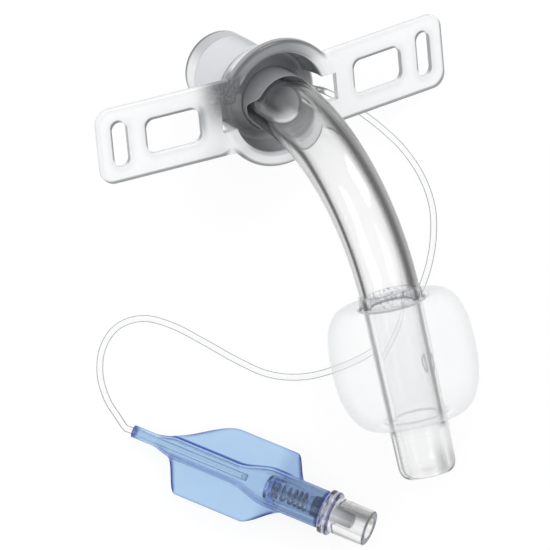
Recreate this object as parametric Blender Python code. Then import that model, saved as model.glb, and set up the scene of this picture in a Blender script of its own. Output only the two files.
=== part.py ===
# Cuffed tracheostomy tube, lying at rest on a table with its pilot balloon beside it.
# Lengths in the tables below are millimetres; the scene is built in metres.
# Tube frame: x runs forward out of the neck plate along the tube, y along the
# plate, z up the neck.

import math

import bmesh
import bpy
import numpy as np
from mathutils import Matrix, Vector, geometry

MM = 0.001

# Curved tube
TUBE_R_ROOT = 6.2
TUBE_R_TIP = 5.6
TUBE_WALL = 1.6
TUBE_REAR = -8.4
ARC_START = -0.7
ARC_RADIUS = 40.0
ARC_ANGLE = math.radians(75.0)
STRAIGHT_LENGTH = 34.0
TIP_NOSE = 2.4
TIP_EDGE = 0.35
TUBE_SIDES = 28

# Neck plate
WING_REACH = 38.8
WING_HEIGHT = 15.4
WING_THICK = 1.4
WING_CORNER = 3.0
WING_EDGE = 0.35
WING_SWEEP = math.radians(5.7)
WING_HINGE = 11.7
SLOT_TO_END = 3.1
SLOT_WIDTH = 3.1
SLOT_HEIGHT = 9.2
WINDOW_TO_SLOT = 4.0
WINDOW_TO_LIP = 4.4
WINDOW_HEIGHT = 7.0
WINDOW_CORNER = 1.7
LIP_R = 12.9
CUP_MOUTH_R = 10.1
CUP_DEPTH = 6.2
CUP_WALL = 1.3
PORT_REACH = 12.9
PORT_HEIGHT = 5.6

# Machine-end connector, a 15 mm cone
CONE_R_END = 7.55
CONE_TAPER = 1 / 80
CONNECTOR_END = -24.6
CONE_WALL = 1.4
STEM_GRIP = 10.4
STEM_WALL = 0.9
BASE_DISC = 1.2

# Cuff
CUFF_R = 14.1
CUFF_MIDDLE = 63.0
CUFF_HALF = 13.0
CUFF_FULL_UP = 2.8
CUFF_FULL_DOWN = 2.2
CUFF_FILM = 0.3
CUFF_DIMPLE = 2.0
COLLAR_UPPER = 2.8
COLLAR_LOWER = 3.4

# Eye under the cuff, turned a little from the plate's line towards the front
EYE_AT = 64.6
EYE_R = 1.1
EYE_TURN = math.radians(15)
PASSAGE_R = 0.38

# Inflation line and its way round the table
LINE_R = 0.65
LINE_STEP = 3.0
LINE_PORT_X = -2.5
# Stops across and along from under the plate's centre, and the line's height there
LINE_ON_TABLE = [
    (12.0, 3.2, 7.75), (16.0, 0.6, 3.55), (19.3, -2.8, 1.15), (22.0, -7.0, 0.15), (24.1, -13.0, 0),
    (24.8, -19.5, 0), (23.8, -25.6, 0), (21.6, -31.6, 0), (18.2, -37.3, 0),
    (13.2, -42.7, 0), (7.0, -46.8, 0), (-0.2, -48.7, 0), (-7.2, -48.9, 0),
    (-13.6, -46.8, 0), (-19.2, -42.4, 0), (-24.4, -37.4, 0), (-29.7, -32.6, 0),
    (-35.0, -29.7, 0), (-40.3, -30.2, 0), (-44.0, -33.9, 0), (-45.6, -39.2, 0),
    (-45.3, -44.6, 0.25), (-43.9, -49.0, 0.85)]

# Pilot balloon, along its own x from the sleeve's end
SLEEVE_LENGTH = 4.2
CHANNEL_HALF_WIDTH = 2.1
CHANNEL_HALF_HEIGHT = 1.9
FLARE_LENGTH = 7.5
SLEEVE_TO_CHANNEL = 4.8
UPPER_TO_WELD = 1.8
UPPER_RISE = 13.5
UPPER_LENGTH = 29.5
UPPER_FALL = 4.1
LOWER_TO_WELD = 3.9
LOWER_RISE = 5.1
LOWER_LENGTH = 26.3
LOWER_FALL = 7.6
BALLOON_HALF_WIDTH = 8.6
BALLOON_FILM = 0.4
LINE_TO_VALVE = 4.5
# Sleeve's end, measured on the table from under the plate's centre
BALLOON_PLACE = (-41.5, -52.9)
BALLOON_HEADING = math.radians(-37.7)

# Check valve
VALVE_INNER_END = 29.0
VALVE_R = 3.05
VALVE_WALL = 0.8
VALVE_LENGTH = 12.5
NOSE_LENGTH = 2.2
NOSE_STEP = 0.45
NOSE_WALL = 0.9
COLLAR_LENGTH = 2.0
COLLAR_RISE = 1.35
LUER_LENGTH = 7.4
LUER_WALL = 1.35
LUER_BORE_R = 2.15
LUER_TAPER = 0.03
SEAT_DEPTH = 10.3
STEM_R = 1.5
STEM_DEPTH = 3.5
SEAL_THICK = 1.5
SEAL_EASE = 0.25
TAIL_R = 0.65
WIRE_R = 0.18
SPRING_TURNS = 7

# Clearance between pieces that fit into each other
FIT = 0.3
CLOSE_FIT = 0.15

# Slots and windows, from the wing's end inwards and from the lip outwards
SLOT_OUT = WING_REACH - SLOT_TO_END
SLOT_IN = SLOT_OUT - SLOT_WIDTH
WINDOW_OUT = SLOT_IN - WINDOW_TO_SLOT
WINDOW_IN = LIP_R + WINDOW_TO_LIP

# Stations and radii of the valve
NOSE_R = VALVE_R - NOSE_STEP
CHAMBER_R = VALVE_R - VALVE_WALL
COLLAR_START = VALVE_INNER_END + VALVE_LENGTH
COLLAR_END = COLLAR_START + COLLAR_LENGTH
COLLAR_R = VALVE_R + COLLAR_RISE
LUER_END = COLLAR_END + LUER_LENGTH
LUER_R = LUER_BORE_R + LUER_WALL
SEAT = LUER_END - SEAT_DEPTH
STEM_END = LUER_END - STEM_DEPTH
SEAL_R = CHAMBER_R - SEAL_EASE

# Stations and radii of the balloon, whose neck grips the valve
NECK_START = VALVE_INNER_END + 0.5
NECK_END = COLLAR_START - FIT
FLARE_START = NECK_START - FLARE_LENGTH
CHANNEL_START = SLEEVE_LENGTH + SLEEVE_TO_CHANNEL
UPPER_START = SLEEVE_LENGTH + UPPER_TO_WELD
UPPER_END = UPPER_START + UPPER_LENGTH
LOWER_START = SLEEVE_LENGTH + LOWER_TO_WELD
LOWER_END = LOWER_START + LOWER_LENGTH
LINE_INSIDE = VALVE_INNER_END - LINE_TO_VALVE
SLEEVE_R = LINE_R + CLOSE_FIT + BALLOON_FILM
NECK_R = VALVE_R + FIT + BALLOON_FILM


def clear_scene():
    for obj in list(bpy.data.objects):
        bpy.data.objects.remove(obj, do_unlink=True)


def material(name, colour, roughness, alpha=1.0):
    made = bpy.data.materials.new(name)
    made.use_nodes = True
    made.diffuse_color = (*colour, alpha)
    shader = made.node_tree.nodes["Principled BSDF"]
    shader.inputs["Base Color"].default_value = (*colour, 1.0)
    shader.inputs["Roughness"].default_value = roughness
    shader.inputs["Alpha"].default_value = alpha
    return made


def add_object(name, data, parent=None, location=(0, 0, 0)):
    obj = bpy.data.objects.new(name, data)
    bpy.context.scene.collection.objects.link(obj)
    obj.parent = parent
    obj.location = Vector(location) * MM
    return obj


def mesh_from(name, points, faces):
    mesh = bpy.data.meshes.new(name)
    mesh.from_pydata([tuple(p) for p in np.asarray(points) * MM], [], faces)
    work = bmesh.new()
    work.from_mesh(mesh)
    bmesh.ops.recalc_face_normals(work, faces=work.faces)
    work.to_mesh(mesh)
    work.free()
    mesh.update()
    return mesh


def as_tool(obj):
    obj.hide_render = True
    obj.display_type = "WIRE"
    return obj


def combine(obj, tool, operation):
    step = obj.modifiers.new(operation.lower(), "BOOLEAN")
    step.operation = operation
    step.solver = "EXACT"
    step.object = tool


# Tube centre line: straight, then an arc bending down, then straight again
ARC_LENGTH = ARC_RADIUS * ARC_ANGLE
TIP = ARC_START + ARC_LENGTH + STRAIGHT_LENGTH


def on_tube(s):
    """Centre, forward and upward directions of the tube at arc length s."""
    turned = min(max((s - ARC_START) / ARC_RADIUS, 0.0), ARC_ANGLE)
    beyond = max(s - ARC_START - ARC_LENGTH, 0.0)
    forward = np.array([math.cos(turned), 0.0, -math.sin(turned)])
    upward = np.array([math.sin(turned), 0.0, math.cos(turned)])
    centre = np.array([min(s, ARC_START), 0.0, 0.0])
    centre += ARC_RADIUS * np.array([math.sin(turned), 0.0, math.cos(turned) - 1.0])
    return centre + beyond * forward, forward, upward


def on_axis(s):
    return np.array([s, 0.0, 0.0]), np.array([1.0, 0.0, 0.0]), np.array([0.0, 0.0, 1.0])


def tube_radius(s):
    share = min(max(s / TIP, 0.0), 1.0)
    return TUBE_R_ROOT + (TUBE_R_TIP - TUBE_R_ROOT) * share


def turned_solid(name, profile, sides, along=on_axis):
    """Closed solid swept round a centre line from a closed loop of (s, radius)."""
    angles = np.linspace(0.0, 2.0 * math.pi, sides, endpoint=False)
    points = []
    for s, radius in profile:
        centre, _, upward = along(s)
        side = np.array([0.0, 1.0, 0.0])
        for angle in angles:
            points.append(centre + radius * (math.cos(angle) * side + math.sin(angle) * upward))
    faces = []
    count = len(profile)
    for i in range(count):
        j = (i + 1) % count
        for k in range(sides):
            m = (k + 1) % sides
            faces.append((i * sides + k, j * sides + k, j * sides + m, i * sides + m))
    return mesh_from(name, points, faces)


def turned_plug(name, profile, sides):
    """Closed solid turned round x from an open line of (s, radius), ends capped."""
    angles = np.linspace(0.0, 2.0 * math.pi, sides, endpoint=False)
    points = [(s, r * math.cos(a), r * math.sin(a)) for s, r in profile for a in angles]
    faces = []
    for i in range(len(profile) - 1):
        for k in range(sides):
            m = (k + 1) % sides
            faces.append((i * sides + k, (i + 1) * sides + k, (i + 1) * sides + m, i * sides + m))
    last = (len(profile) - 1) * sides
    faces.append(tuple(range(sides)))
    faces.append(tuple(last + k for k in range(sides)))
    return mesh_from(name, points, faces)


def round_corner(centre, radius, start, end, steps):
    """Points (s, r) on an arc; angles in degrees, 0 along +s and 90 outward."""
    return [
        (centre[0] + radius * math.cos(math.radians(a)), centre[1] + radius * math.sin(math.radians(a)))
        for a in np.linspace(start, end, steps + 1)
    ]


def rounded_rectangle(middle, half, corners, steps):
    """Outline whose corners at the high and low end have their own radii."""
    points = []
    for quarter, (sx, sz) in enumerate(((1, 1), (-1, 1), (-1, -1), (1, -1))):
        corner = corners[0] if sx > 0 else corners[1]
        cx = middle[0] + sx * (half[0] - corner)
        cz = middle[1] + sz * (half[1] - corner)
        for k in range(steps + 1):
            angle = math.pi / 2 * (quarter + k / steps)
            points.append((cx + corner * math.cos(angle), cz + corner * math.sin(angle)))
    return points


def plate(name, outer, holes, thick, edge, steps):
    """Flat plate with rounded edges; outlines are (middle, half size, corners)."""
    levels = []
    for angle in np.linspace(0.0, math.pi / 2, 3):
        levels.append((edge * (1 - math.sin(angle)), -edge * (1 - math.cos(angle))))
    stack = levels + [(inset, -thick - drop) for inset, drop in levels[::-1]]
    loops = [(outer, 1.0)] + [(hole, -1.0) for hole in holes]
    points = []
    faces = []
    front = []
    back = []
    for (middle, half, corners), sign in loops:
        rings = []
        for inset, depth in stack:
            shrink = sign * inset
            ring = rounded_rectangle(
                middle, (half[0] - shrink, half[1] - shrink),
                [corner - shrink for corner in corners], steps)
            start = len(points)
            points += [(depth, a, b) for a, b in ring]
            rings.append(range(start, start + len(ring)))
        for upper, lower in zip(rings[:-1], rings[1:]):
            for k in range(len(upper)):
                m = (k + 1) % len(upper)
                faces.append((upper[k], upper[m], lower[m], lower[k]))
        front.append(rings[0])
        back.append(rings[-1])
    for cap in (front, back):
        order = [index for ring in cap for index in ring]
        flat = [[Vector((points[i][1], points[i][2], 0.0)) for i in ring] for ring in cap]
        for a, b, c in geometry.tessellate_polygon(flat):
            faces.append((order[a], order[b], order[c]))
    return mesh_from(name, points, faces)


def box(name, low, high):
    (x0, y0, z0), (x1, y1, z1) = low, high
    points = [(x, y, z) for x in (x0, x1) for y in (y0, y1) for z in (z0, z1)]
    faces = [(0, 1, 3, 2), (4, 6, 7, 5), (0, 4, 5, 1), (2, 3, 7, 6), (0, 2, 6, 4), (1, 5, 7, 3)]
    return mesh_from(name, points, faces)


def smooth_route(stops, step):
    """Even points on a smooth curve through the stops (a Catmull-Rom curve)."""
    stops = np.asarray(stops, float)
    padded = np.vstack([2 * stops[0] - stops[1], stops, 2 * stops[-1] - stops[-2]])
    fine = []
    for a, b, c, d in zip(padded[:-3], padded[1:-2], padded[2:-1], padded[3:]):
        for t in np.linspace(0.0, 1.0, 24, endpoint=False):
            fine.append(0.5 * (2 * b + (c - a) * t + (2 * a - 5 * b + 4 * c - d) * t ** 2
                               + (3 * b - a - 3 * c + d) * t ** 3))
    fine.append(stops[-1])
    fine = np.array(fine)
    run = np.concatenate([[0.0], np.cumsum(np.linalg.norm(np.diff(fine, axis=0), axis=1))])
    count = int(round(run[-1] / step)) + 1
    even = np.linspace(0.0, run[-1], count)
    return np.stack([np.interp(even, run, fine[:, k]) for k in range(3)], axis=1)


clear_scene()

# Frames: the tube's own frame and the balloon's own frame
tube_frame = add_object("tube_frame", None)
balloon_frame = add_object("balloon_frame", None)

# Curved tube with a rounded open tip


def tube_profile():
    stations = [TUBE_REAR + FIT, ARC_START]
    stations += list(np.linspace(ARC_START, ARC_START + ARC_LENGTH, 16)[1:])
    stations += list(np.linspace(ARC_START + ARC_LENGTH, TIP - TIP_NOSE, 4)[1:])
    outside = [(TUBE_REAR, TUBE_R_ROOT - FIT)]
    outside += [(s, tube_radius(s)) for s in stations]
    outer = tube_radius(TIP)
    inner = outer - TUBE_WALL
    for angle in np.linspace(90, 0, 5)[1:]:
        lean = math.radians(angle)
        outside.append((TIP - TIP_NOSE + TIP_NOSE * math.cos(lean),
                        inner + TIP_EDGE + (TUBE_WALL - TIP_EDGE) * math.sin(lean)))
    inside = round_corner((TIP - TIP_EDGE, inner + TIP_EDGE), TIP_EDGE, 0, -90, 2)[1:]
    inside += [(s, tube_radius(s) - TUBE_WALL) for s in stations[-2::-1]]
    inside += [(TUBE_REAR, TUBE_R_ROOT - TUBE_WALL)]
    return outside + inside


cannula = add_object("cannula", turned_solid("cannula", tube_profile(), TUBE_SIDES, on_tube), tube_frame)

# Socket in the tube wall that the inflation line is bonded into
socket_depth = 0.7 * TUBE_WALL
line_direction = Vector((-0.26, 1.0, -0.06)).normalized()
line_port = Vector((LINE_PORT_X, tube_radius(LINE_PORT_X), 0.0))
socket = as_tool(add_object(
    "socket_tool",
    turned_plug("socket_tool", [(-socket_depth, LINE_R + CLOSE_FIT), (2.0, LINE_R + CLOSE_FIT)], 16),
    tube_frame, line_port))
socket.rotation_euler = line_direction.to_track_quat("X", "Z").to_euler()
combine(cannula, socket, "DIFFERENCE")

# Eye under the cuff where the inflation passage opens
eye_centre, eye_forward, eye_up = on_tube(EYE_AT)
eye_out = math.cos(EYE_TURN) * np.array([0.0, 1.0, 0.0]) + math.sin(EYE_TURN) * eye_up
eye_tool_mesh = bpy.data.meshes.new("eye_tool")
eye_work = bmesh.new()
bmesh.ops.create_uvsphere(eye_work, u_segments=16, v_segments=8, radius=EYE_R * MM)
bmesh.ops.scale(eye_work, verts=eye_work.verts, vec=(1.5, 0.9, 0.9))
eye_work.to_mesh(eye_tool_mesh)
eye_work.free()
eye_tool = as_tool(add_object(
    "eye_tool", eye_tool_mesh, tube_frame,
    eye_centre + (tube_radius(EYE_AT) + 0.25) * eye_out))
eye_tool.rotation_euler = Vector(eye_forward).to_track_quat("X", "Z").to_euler()
combine(cannula, eye_tool, "DIFFERENCE")

# Inflation passage in the middle of the wall, from the line's socket to the eye


def passage_mesh():
    sides = 8
    points = []
    for s in np.linspace(LINE_PORT_X, EYE_AT, 20):
        centre, forward, upward = on_tube(s)
        turn = EYE_TURN * (s - LINE_PORT_X) / (EYE_AT - LINE_PORT_X)
        out = math.cos(turn) * np.array([0.0, 1.0, 0.0]) + math.sin(turn) * upward
        across = np.cross(forward, out)
        middle = centre + (tube_radius(s) - 0.5 * TUBE_WALL) * out
        for angle in np.linspace(0.0, 2.0 * math.pi, sides, endpoint=False):
            points.append(middle + PASSAGE_R * (math.cos(angle) * out + math.sin(angle) * across))
    faces = [tuple(range(sides)), tuple(range(len(points) - sides, len(points)))]
    for start in range(0, len(points) - sides, sides):
        for k in range(sides):
            m = (k + 1) % sides
            faces.append((start + k, start + sides + k, start + sides + m, start + m))
    return mesh_from("passage_tool", points, faces)


combine(cannula, as_tool(add_object("passage_tool", passage_mesh(), tube_frame)), "DIFFERENCE")

# Neck plate: cup with a rolled lip, and a wing on each side
bore = TUBE_R_ROOT + FIT
cup_back = -CUP_DEPTH - CUP_WALL - 1.0


def cup_profile():
    lip_thick = WING_THICK + 0.5
    lip_top = 0.55
    loop = [(cup_back, bore), (cup_back, bore + CUP_WALL + 0.2)]
    for angle in np.linspace(12, 78, 6):
        share = math.radians(angle)
        loop.append((-WING_THICK + (cup_back + WING_THICK) * math.cos(share) * 0.97,
                     bore + CUP_WALL + (CUP_MOUTH_R + CUP_WALL - bore - CUP_WALL) * math.sin(share)))
    loop.append((-WING_THICK, CUP_MOUTH_R + CUP_WALL))
    loop += round_corner((-WING_THICK + 0.4, LIP_R - 0.4), 0.4, 180, 90, 2)
    loop += round_corner((lip_top - 0.75, LIP_R - 0.75), 0.75, 80, 10, 3)
    loop += [(lip_top + 0.1, 0.5 * (LIP_R + CUP_MOUTH_R) + 0.1)]
    roll = 0.5 * (LIP_R - CUP_MOUTH_R)
    loop += round_corner((lip_top - roll + 0.05, CUP_MOUTH_R + roll), roll, -10, -80, 3)
    floor = -CUP_DEPTH
    loop += [(-lip_thick, CUP_MOUTH_R - 0.05), (floor + 2.6, CUP_MOUTH_R - 0.35)]
    groove = 0.5 * (CUP_MOUTH_R - 0.5 - bore - 0.4)
    loop += round_corner((floor + groove, bore + 0.4 + groove), groove, 80, 190, 6)
    loop += [(floor + groove + 0.9, bore + 0.35), (floor + groove + 1.2, bore)]
    return loop


flange = add_object("neck_flange", turned_solid("neck_flange", cup_profile(), 36), tube_frame)
wing_in = CUP_MOUTH_R + 0.35


def wing_outline(inner, outer, height, outer_corner, inner_corner=None):
    middle = (0.5 * (inner + outer) - WING_HINGE, 0.0)
    return middle, (0.5 * (outer - inner), 0.5 * height), (outer_corner, inner_corner or outer_corner)


wing_mesh = plate(
    "wing",
    wing_outline(wing_in, WING_REACH, WING_HEIGHT, WING_CORNER, WING_EDGE + 0.15),
    [wing_outline(WINDOW_IN, WINDOW_OUT, WINDOW_HEIGHT, WINDOW_CORNER),
     wing_outline(SLOT_IN, SLOT_OUT, SLOT_HEIGHT, 0.499 * (SLOT_OUT - SLOT_IN))],
    WING_THICK, WING_EDGE, 5)
for side, label in ((1, "right"), (-1, "left")):
    wing = as_tool(add_object("wing_" + label, wing_mesh, tube_frame, (0, side * WING_HINGE, 0)))
    turn = 0.0 if side > 0 else math.pi
    wing.rotation_euler = (turn, 0.0, side * WING_SWEEP)
    combine(flange, wing, "UNION")

# Side openings beside the tube, through lip and cup wall
for side, label in ((1, "right"), (-1, "left")):
    near, far = sorted((side * (bore + 1.3), side * PORT_REACH))
    opening = as_tool(add_object(
        "opening_" + label,
        box("opening_" + label, (-CUP_DEPTH + 0.5, near, -0.5 * PORT_HEIGHT),
            (2.0, far, 0.5 * PORT_HEIGHT)), tube_frame))
    combine(flange, opening, "DIFFERENCE")

# Machine-end connector: cone, base disc and a stem inside the tube
base_front = cup_back - FIT
base_rear = base_front - BASE_DISC
cone_r_base = CONE_R_END + CONE_TAPER * (base_rear - CONNECTOR_END)
stem_r = TUBE_R_ROOT - TUBE_WALL - FIT
stem_front = TUBE_REAR + STEM_GRIP
throat = stem_r - STEM_WALL


def connector_profile():
    loop = round_corner((CONNECTOR_END + 0.35, CONE_R_END - 0.35), 0.35, 180, 90, 3)
    loop += [(base_rear, cone_r_base), (base_rear, cone_r_base + 1.2)]
    loop += [(base_front, cone_r_base + 1.2), (base_front, stem_r)]
    loop += [(stem_front - 0.4, stem_r), (stem_front, stem_r - 0.4), (stem_front, throat)]
    loop += [(base_front, throat), (base_rear - 3.0, cone_r_base - CONE_WALL)]
    loop += [(CONNECTOR_END + 0.4, CONE_R_END - CONE_WALL), (CONNECTOR_END, CONE_R_END - CONE_WALL + 0.4)]
    return loop


connector = add_object(
    "machine_connector", turned_solid("machine_connector", connector_profile(), 36), tube_frame)

# Cuff: thin film sleeve with a collar bonded to the tube at each end


def cuff_profile():
    neck_r = tube_radius(CUFF_MIDDLE) + FIT + CUFF_FILM
    ring = []
    for angle in np.linspace(-90, 90, 15):
        lean = math.radians(angle)
        bulge = CUFF_FULL_UP if angle < 0 else CUFF_FULL_DOWN
        out = abs(math.cos(lean)) ** (2 / bulge)
        along = math.copysign(abs(math.sin(lean)) ** (2 / bulge), lean)
        dip = CUFF_DIMPLE * (1 - out) ** 3
        radius = neck_r + (CUFF_R - neck_r) * out
        ring.append((CUFF_MIDDLE + along * (CUFF_HALF - dip), radius))
    upper = ring[0][0] - COLLAR_UPPER
    lower = ring[-1][0] + COLLAR_LOWER
    outer = [(upper, tube_radius(upper) + FIT + CUFF_FILM)] + ring
    outer += [(lower, tube_radius(lower) + FIT + CUFF_FILM)]
    inner = []
    count = len(outer)
    for k in range(count):
        before = np.array(outer[max(k - 1, 0)])
        after = np.array(outer[min(k + 1, count - 1)])
        run = after - before
        run /= np.linalg.norm(run)
        normal = np.array([run[1], -run[0]])
        point = np.array(outer[k]) + CUFF_FILM * normal
        floor = tube_radius(point[0]) + FIT
        inner.append((point[0], max(point[1], floor)))
    inner[0] = (outer[0][0], outer[0][1] - CUFF_FILM)
    inner[-1] = (outer[-1][0], outer[-1][1] - CUFF_FILM)
    return outer + inner[::-1]


cuff = add_object("cuff", turned_solid("cuff", cuff_profile(), TUBE_SIDES, on_tube), tube_frame)

# Rest: the plane under the connector rim, the tube tip and the right wing's corner


def seen_points(obj):
    graph = bpy.context.evaluated_depsgraph_get()
    data = obj.evaluated_get(graph).data
    points = np.empty(len(data.vertices) * 3)
    data.vertices.foreach_get("co", points)
    return points.reshape(-1, 3)


def resting_normal(groups, guess):
    normal = np.asarray(guess, float)
    for _ in range(30):
        feet = [group[np.argmin(group @ normal)] for group in groups]
        found = np.cross(feet[1] - feet[0], feet[2] - feet[0])
        found /= np.linalg.norm(found)
        found *= math.copysign(1.0, found @ normal)
        if np.allclose(found, normal, atol=1e-9):
            break
        normal = found
    return normal


bpy.context.view_layer.update()
plate_points = seen_points(flange)
groups = [seen_points(connector), seen_points(cannula), plate_points[plate_points[:, 1] > 0.02]]
up = resting_normal(groups, (0.6, -0.35, 0.72))
ahead = on_tube(TIP)[1]
front = ahead - (ahead @ up) * up
front /= np.linalg.norm(front)
back = -front
right = np.cross(back, up)
turn = Matrix((right, back, up)).to_4x4()

# The origin is under the middle of the tube, plate, connector and cuff
world_turn = np.array(turn)[:3, :3]
spread = np.vstack([seen_points(obj) @ world_turn.T for obj in (cannula, flange, connector, cuff)])
low, high = spread.min(axis=0), spread.max(axis=0)
tube_place = Vector((-0.5 * (low[0] + high[0]), -0.5 * (low[1] + high[1]), -low[2]))
tube_frame.matrix_world = Matrix.Translation(tube_place) @ turn
bpy.context.view_layer.update()

# Pilot balloon: sleeve, welded wings either side of a channel, and the valve's neck


def rise(x, start, end):
    share = min(max((x - start) / (end - start), 0.0), 1.0)
    return share * share * (3.0 - 2.0 * share)


def balloon_sizes(x):
    """Reach of the upper and lower wing, and half width and height of the channel, at x."""
    opening = rise(x, SLEEVE_LENGTH, CHANNEL_START)
    flare = rise(x, FLARE_START, NECK_START)
    wide = SLEEVE_R + (CHANNEL_HALF_WIDTH - SLEEVE_R) * opening + (NECK_R - CHANNEL_HALF_WIDTH) * flare
    high = SLEEVE_R + (CHANNEL_HALF_HEIGHT - SLEEVE_R) * opening + (NECK_R - CHANNEL_HALF_HEIGHT) * flare
    upper = rise(x, UPPER_START, UPPER_START + UPPER_RISE)
    upper *= 1.0 - rise(x, UPPER_END - UPPER_FALL, UPPER_END)
    lower = rise(x, LOWER_START, LOWER_START + LOWER_RISE)
    lower *= 1.0 - rise(x, LOWER_END - LOWER_FALL, LOWER_END)
    wing = BALLOON_HALF_WIDTH - wide
    return wide + wing * upper, wide + wing * lower, wide, high


def balloon_mesh():
    sides = 28
    stations = [0.0] + list(np.linspace(SLEEVE_LENGTH, LOWER_START, 3))
    stations += list(np.linspace(LOWER_START, LOWER_START + LOWER_RISE, 6)[1:])
    stations += list(np.linspace(LOWER_START + LOWER_RISE, UPPER_START + UPPER_RISE, 4)[1:])
    stations += list(np.linspace(max(UPPER_START + UPPER_RISE, FLARE_START), NECK_START, 4))
    stations += list(np.linspace(NECK_START, UPPER_END, 7)[1:]) + [NECK_END]
    stations = sorted(set(stations))
    outer, inner = [], []
    for x in stations:
        upper, lower, wide, high = balloon_sizes(x)
        outer_ring, inner_ring = [], []
        for k in range(sides):
            angle = 2.0 * math.pi * k / sides
            c, d = math.cos(angle), math.sin(angle)
            half = upper if c > 0 else lower
            y = half * c * (1.0 - (1.0 - wide / half) * abs(d) ** 1.2)
            film = BALLOON_FILM * 0.85 * math.sqrt(max(1.0 - (y / half) ** 6, 0.0))
            channel = high * math.sqrt(max(1.0 - (y / wide) ** 2, 0.0))
            outer_ring.append((x, y, math.copysign(max(film, channel), d) if abs(d) > 1e-6 else 0.0))
            inner_ring.append((x, (wide - BALLOON_FILM) * c, (high - BALLOON_FILM) * d))
        outer.append(outer_ring)
        inner.append(inner_ring)
    rings = outer + inner[::-1]
    points = [point for ring in rings for point in ring]
    faces = []
    for i in range(len(rings)):
        j = (i + 1) % len(rings)
        for k in range(sides):
            m = (k + 1) % sides
            faces.append((i * sides + k, j * sides + k, j * sides + m, i * sides + m))
    return mesh_from("pilot_balloon", points, faces)


balloon = add_object("pilot_balloon", balloon_mesh(), balloon_frame)

# Check valve: clear body with a collar and a female Luer mouth


def bore_radius(x):
    return LUER_BORE_R - LUER_TAPER * (LUER_END - x)


def valve_profile():
    tail_hole = TAIL_R + 0.35
    nose_inside = VALVE_INNER_END + NOSE_WALL
    nose_end = VALVE_INNER_END + NOSE_LENGTH
    middle = 0.5 * (COLLAR_START + COLLAR_END)
    loop = [(VALVE_INNER_END, tail_hole), (VALVE_INNER_END, NOSE_R - 0.35)]
    loop += [(VALVE_INNER_END + 0.35, NOSE_R), (nose_end, NOSE_R), (nose_end + 0.4, VALVE_R)]
    loop += [(COLLAR_START, VALVE_R)]
    loop += round_corner((COLLAR_START + 0.35, COLLAR_R - 0.35), 0.35, 180, 90, 2)
    loop += [(middle - 0.2, COLLAR_R), (middle, COLLAR_R - 0.3), (middle + 0.2, COLLAR_R)]
    loop += round_corner((COLLAR_END - 0.35, COLLAR_R - 0.35), 0.35, 90, 0, 2)
    loop += [(COLLAR_END, LUER_R + 0.12)]
    loop += round_corner((LUER_END - 0.25, LUER_R - 0.25), 0.25, 90, 0, 2)
    loop += [(LUER_END, LUER_BORE_R + 0.2), (LUER_END - 0.3, bore_radius(LUER_END - 0.3))]
    loop += [(SEAT, bore_radius(SEAT)), (SEAT, CHAMBER_R), (nose_end + 1.4, CHAMBER_R)]
    loop += [(nose_end + 1.0, NOSE_R - 0.65), (nose_inside, NOSE_R - 0.65)]
    loop += [(nose_inside, tail_hole)]
    return loop


valve_body = add_object("valve_body", turned_solid("valve_body", valve_profile(), 24), balloon_frame)

# Plunger that a syringe pushes in; its origin is on the valve's axis at the seat
seal_front = SEAT - 0.1
seal_rear = seal_front - SEAL_THICK
rim_rear = seal_rear - 0.8
tail_end = VALVE_INNER_END + NOSE_WALL + 0.5
seal_hole = 0.72 * STEM_R
plunger_profile = [
    (tail_end, TAIL_R - 0.15), (tail_end + 0.2, TAIL_R), (rim_rear, TAIL_R),
    (rim_rear, SEAL_R - 0.25), (seal_rear - 0.05, SEAL_R - 0.25), (seal_rear - 0.05, seal_hole),
    (seal_front - 0.2, seal_hole), (seal_front - 0.2, STEM_R),
    (STEM_END - 0.3, STEM_R), (STEM_END, STEM_R - 0.3)]
plunger = add_object(
    "valve_plunger",
    turned_plug("valve_plunger", [(s - SEAT, r) for s, r in plunger_profile], 20),
    balloon_frame, (SEAT, 0, 0))
seal_profile = [
    (seal_rear, seal_hole + 0.1), (seal_rear, SEAL_R - 0.15), (seal_rear + 0.15, SEAL_R),
    (seal_front - 0.15, SEAL_R), (seal_front, SEAL_R - 0.15), (seal_front, STEM_R + 0.1),
    (seal_front - 0.3, STEM_R + 0.1), (seal_front - 0.3, seal_hole + 0.1)]
seal = add_object(
    "valve_seal",
    turned_solid("valve_seal", [(s - SEAT, r) for s, r in seal_profile], 20),
    balloon_frame, (SEAT, 0, 0))


def wire_object(name, points, radius, resolution, parent=None):
    curve = bpy.data.curves.new(name, "CURVE")
    curve.dimensions = "3D"
    curve.bevel_depth = radius * MM
    curve.bevel_resolution = resolution
    curve.use_fill_caps = True
    spline = curve.splines.new("POLY")
    spline.points.add(len(points) - 1)
    for slot, point in zip(spline.points, points):
        slot.co = (*(np.asarray(point) * MM), 1.0)
    return add_object(name, curve, parent)


spring_start = VALVE_INNER_END + NOSE_WALL + WIRE_R + 0.1
spring_end = rim_rear - WIRE_R - 0.1
spring_narrow = TAIL_R + WIRE_R + 0.42
spring_wide = CHAMBER_R - WIRE_R - 0.42
spring_points = []
for share in np.linspace(0.0, 1.0, 10 * SPRING_TURNS + 1):
    angle = 2.0 * math.pi * SPRING_TURNS * share
    radius = spring_narrow + (spring_wide - spring_narrow) * share
    spring_points.append((spring_start + (spring_end - spring_start) * share,
                          radius * math.cos(angle), radius * math.sin(angle)))
spring = wire_object("valve_spring", spring_points, WIRE_R, 1, balloon_frame)

# The balloon rests on its neck and on the valve's collar
pitch = math.atan2(COLLAR_R - NECK_R, 0.5 * (COLLAR_START + COLLAR_END) - NECK_START)
turn = Matrix.Rotation(BALLOON_HEADING, 4, "Z") @ Matrix.Rotation(-pitch, 4, "Y")
lowest = min((seen_points(obj) @ np.array(turn)[2, :3]).min() for obj in (balloon, valve_body))
place = Vector((tube_place[0] + BALLOON_PLACE[0] * MM, tube_place[1] + BALLOON_PLACE[1] * MM, -lowest))
balloon_frame.matrix_world = Matrix.Translation(place) @ turn
bpy.context.view_layer.update()


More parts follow.
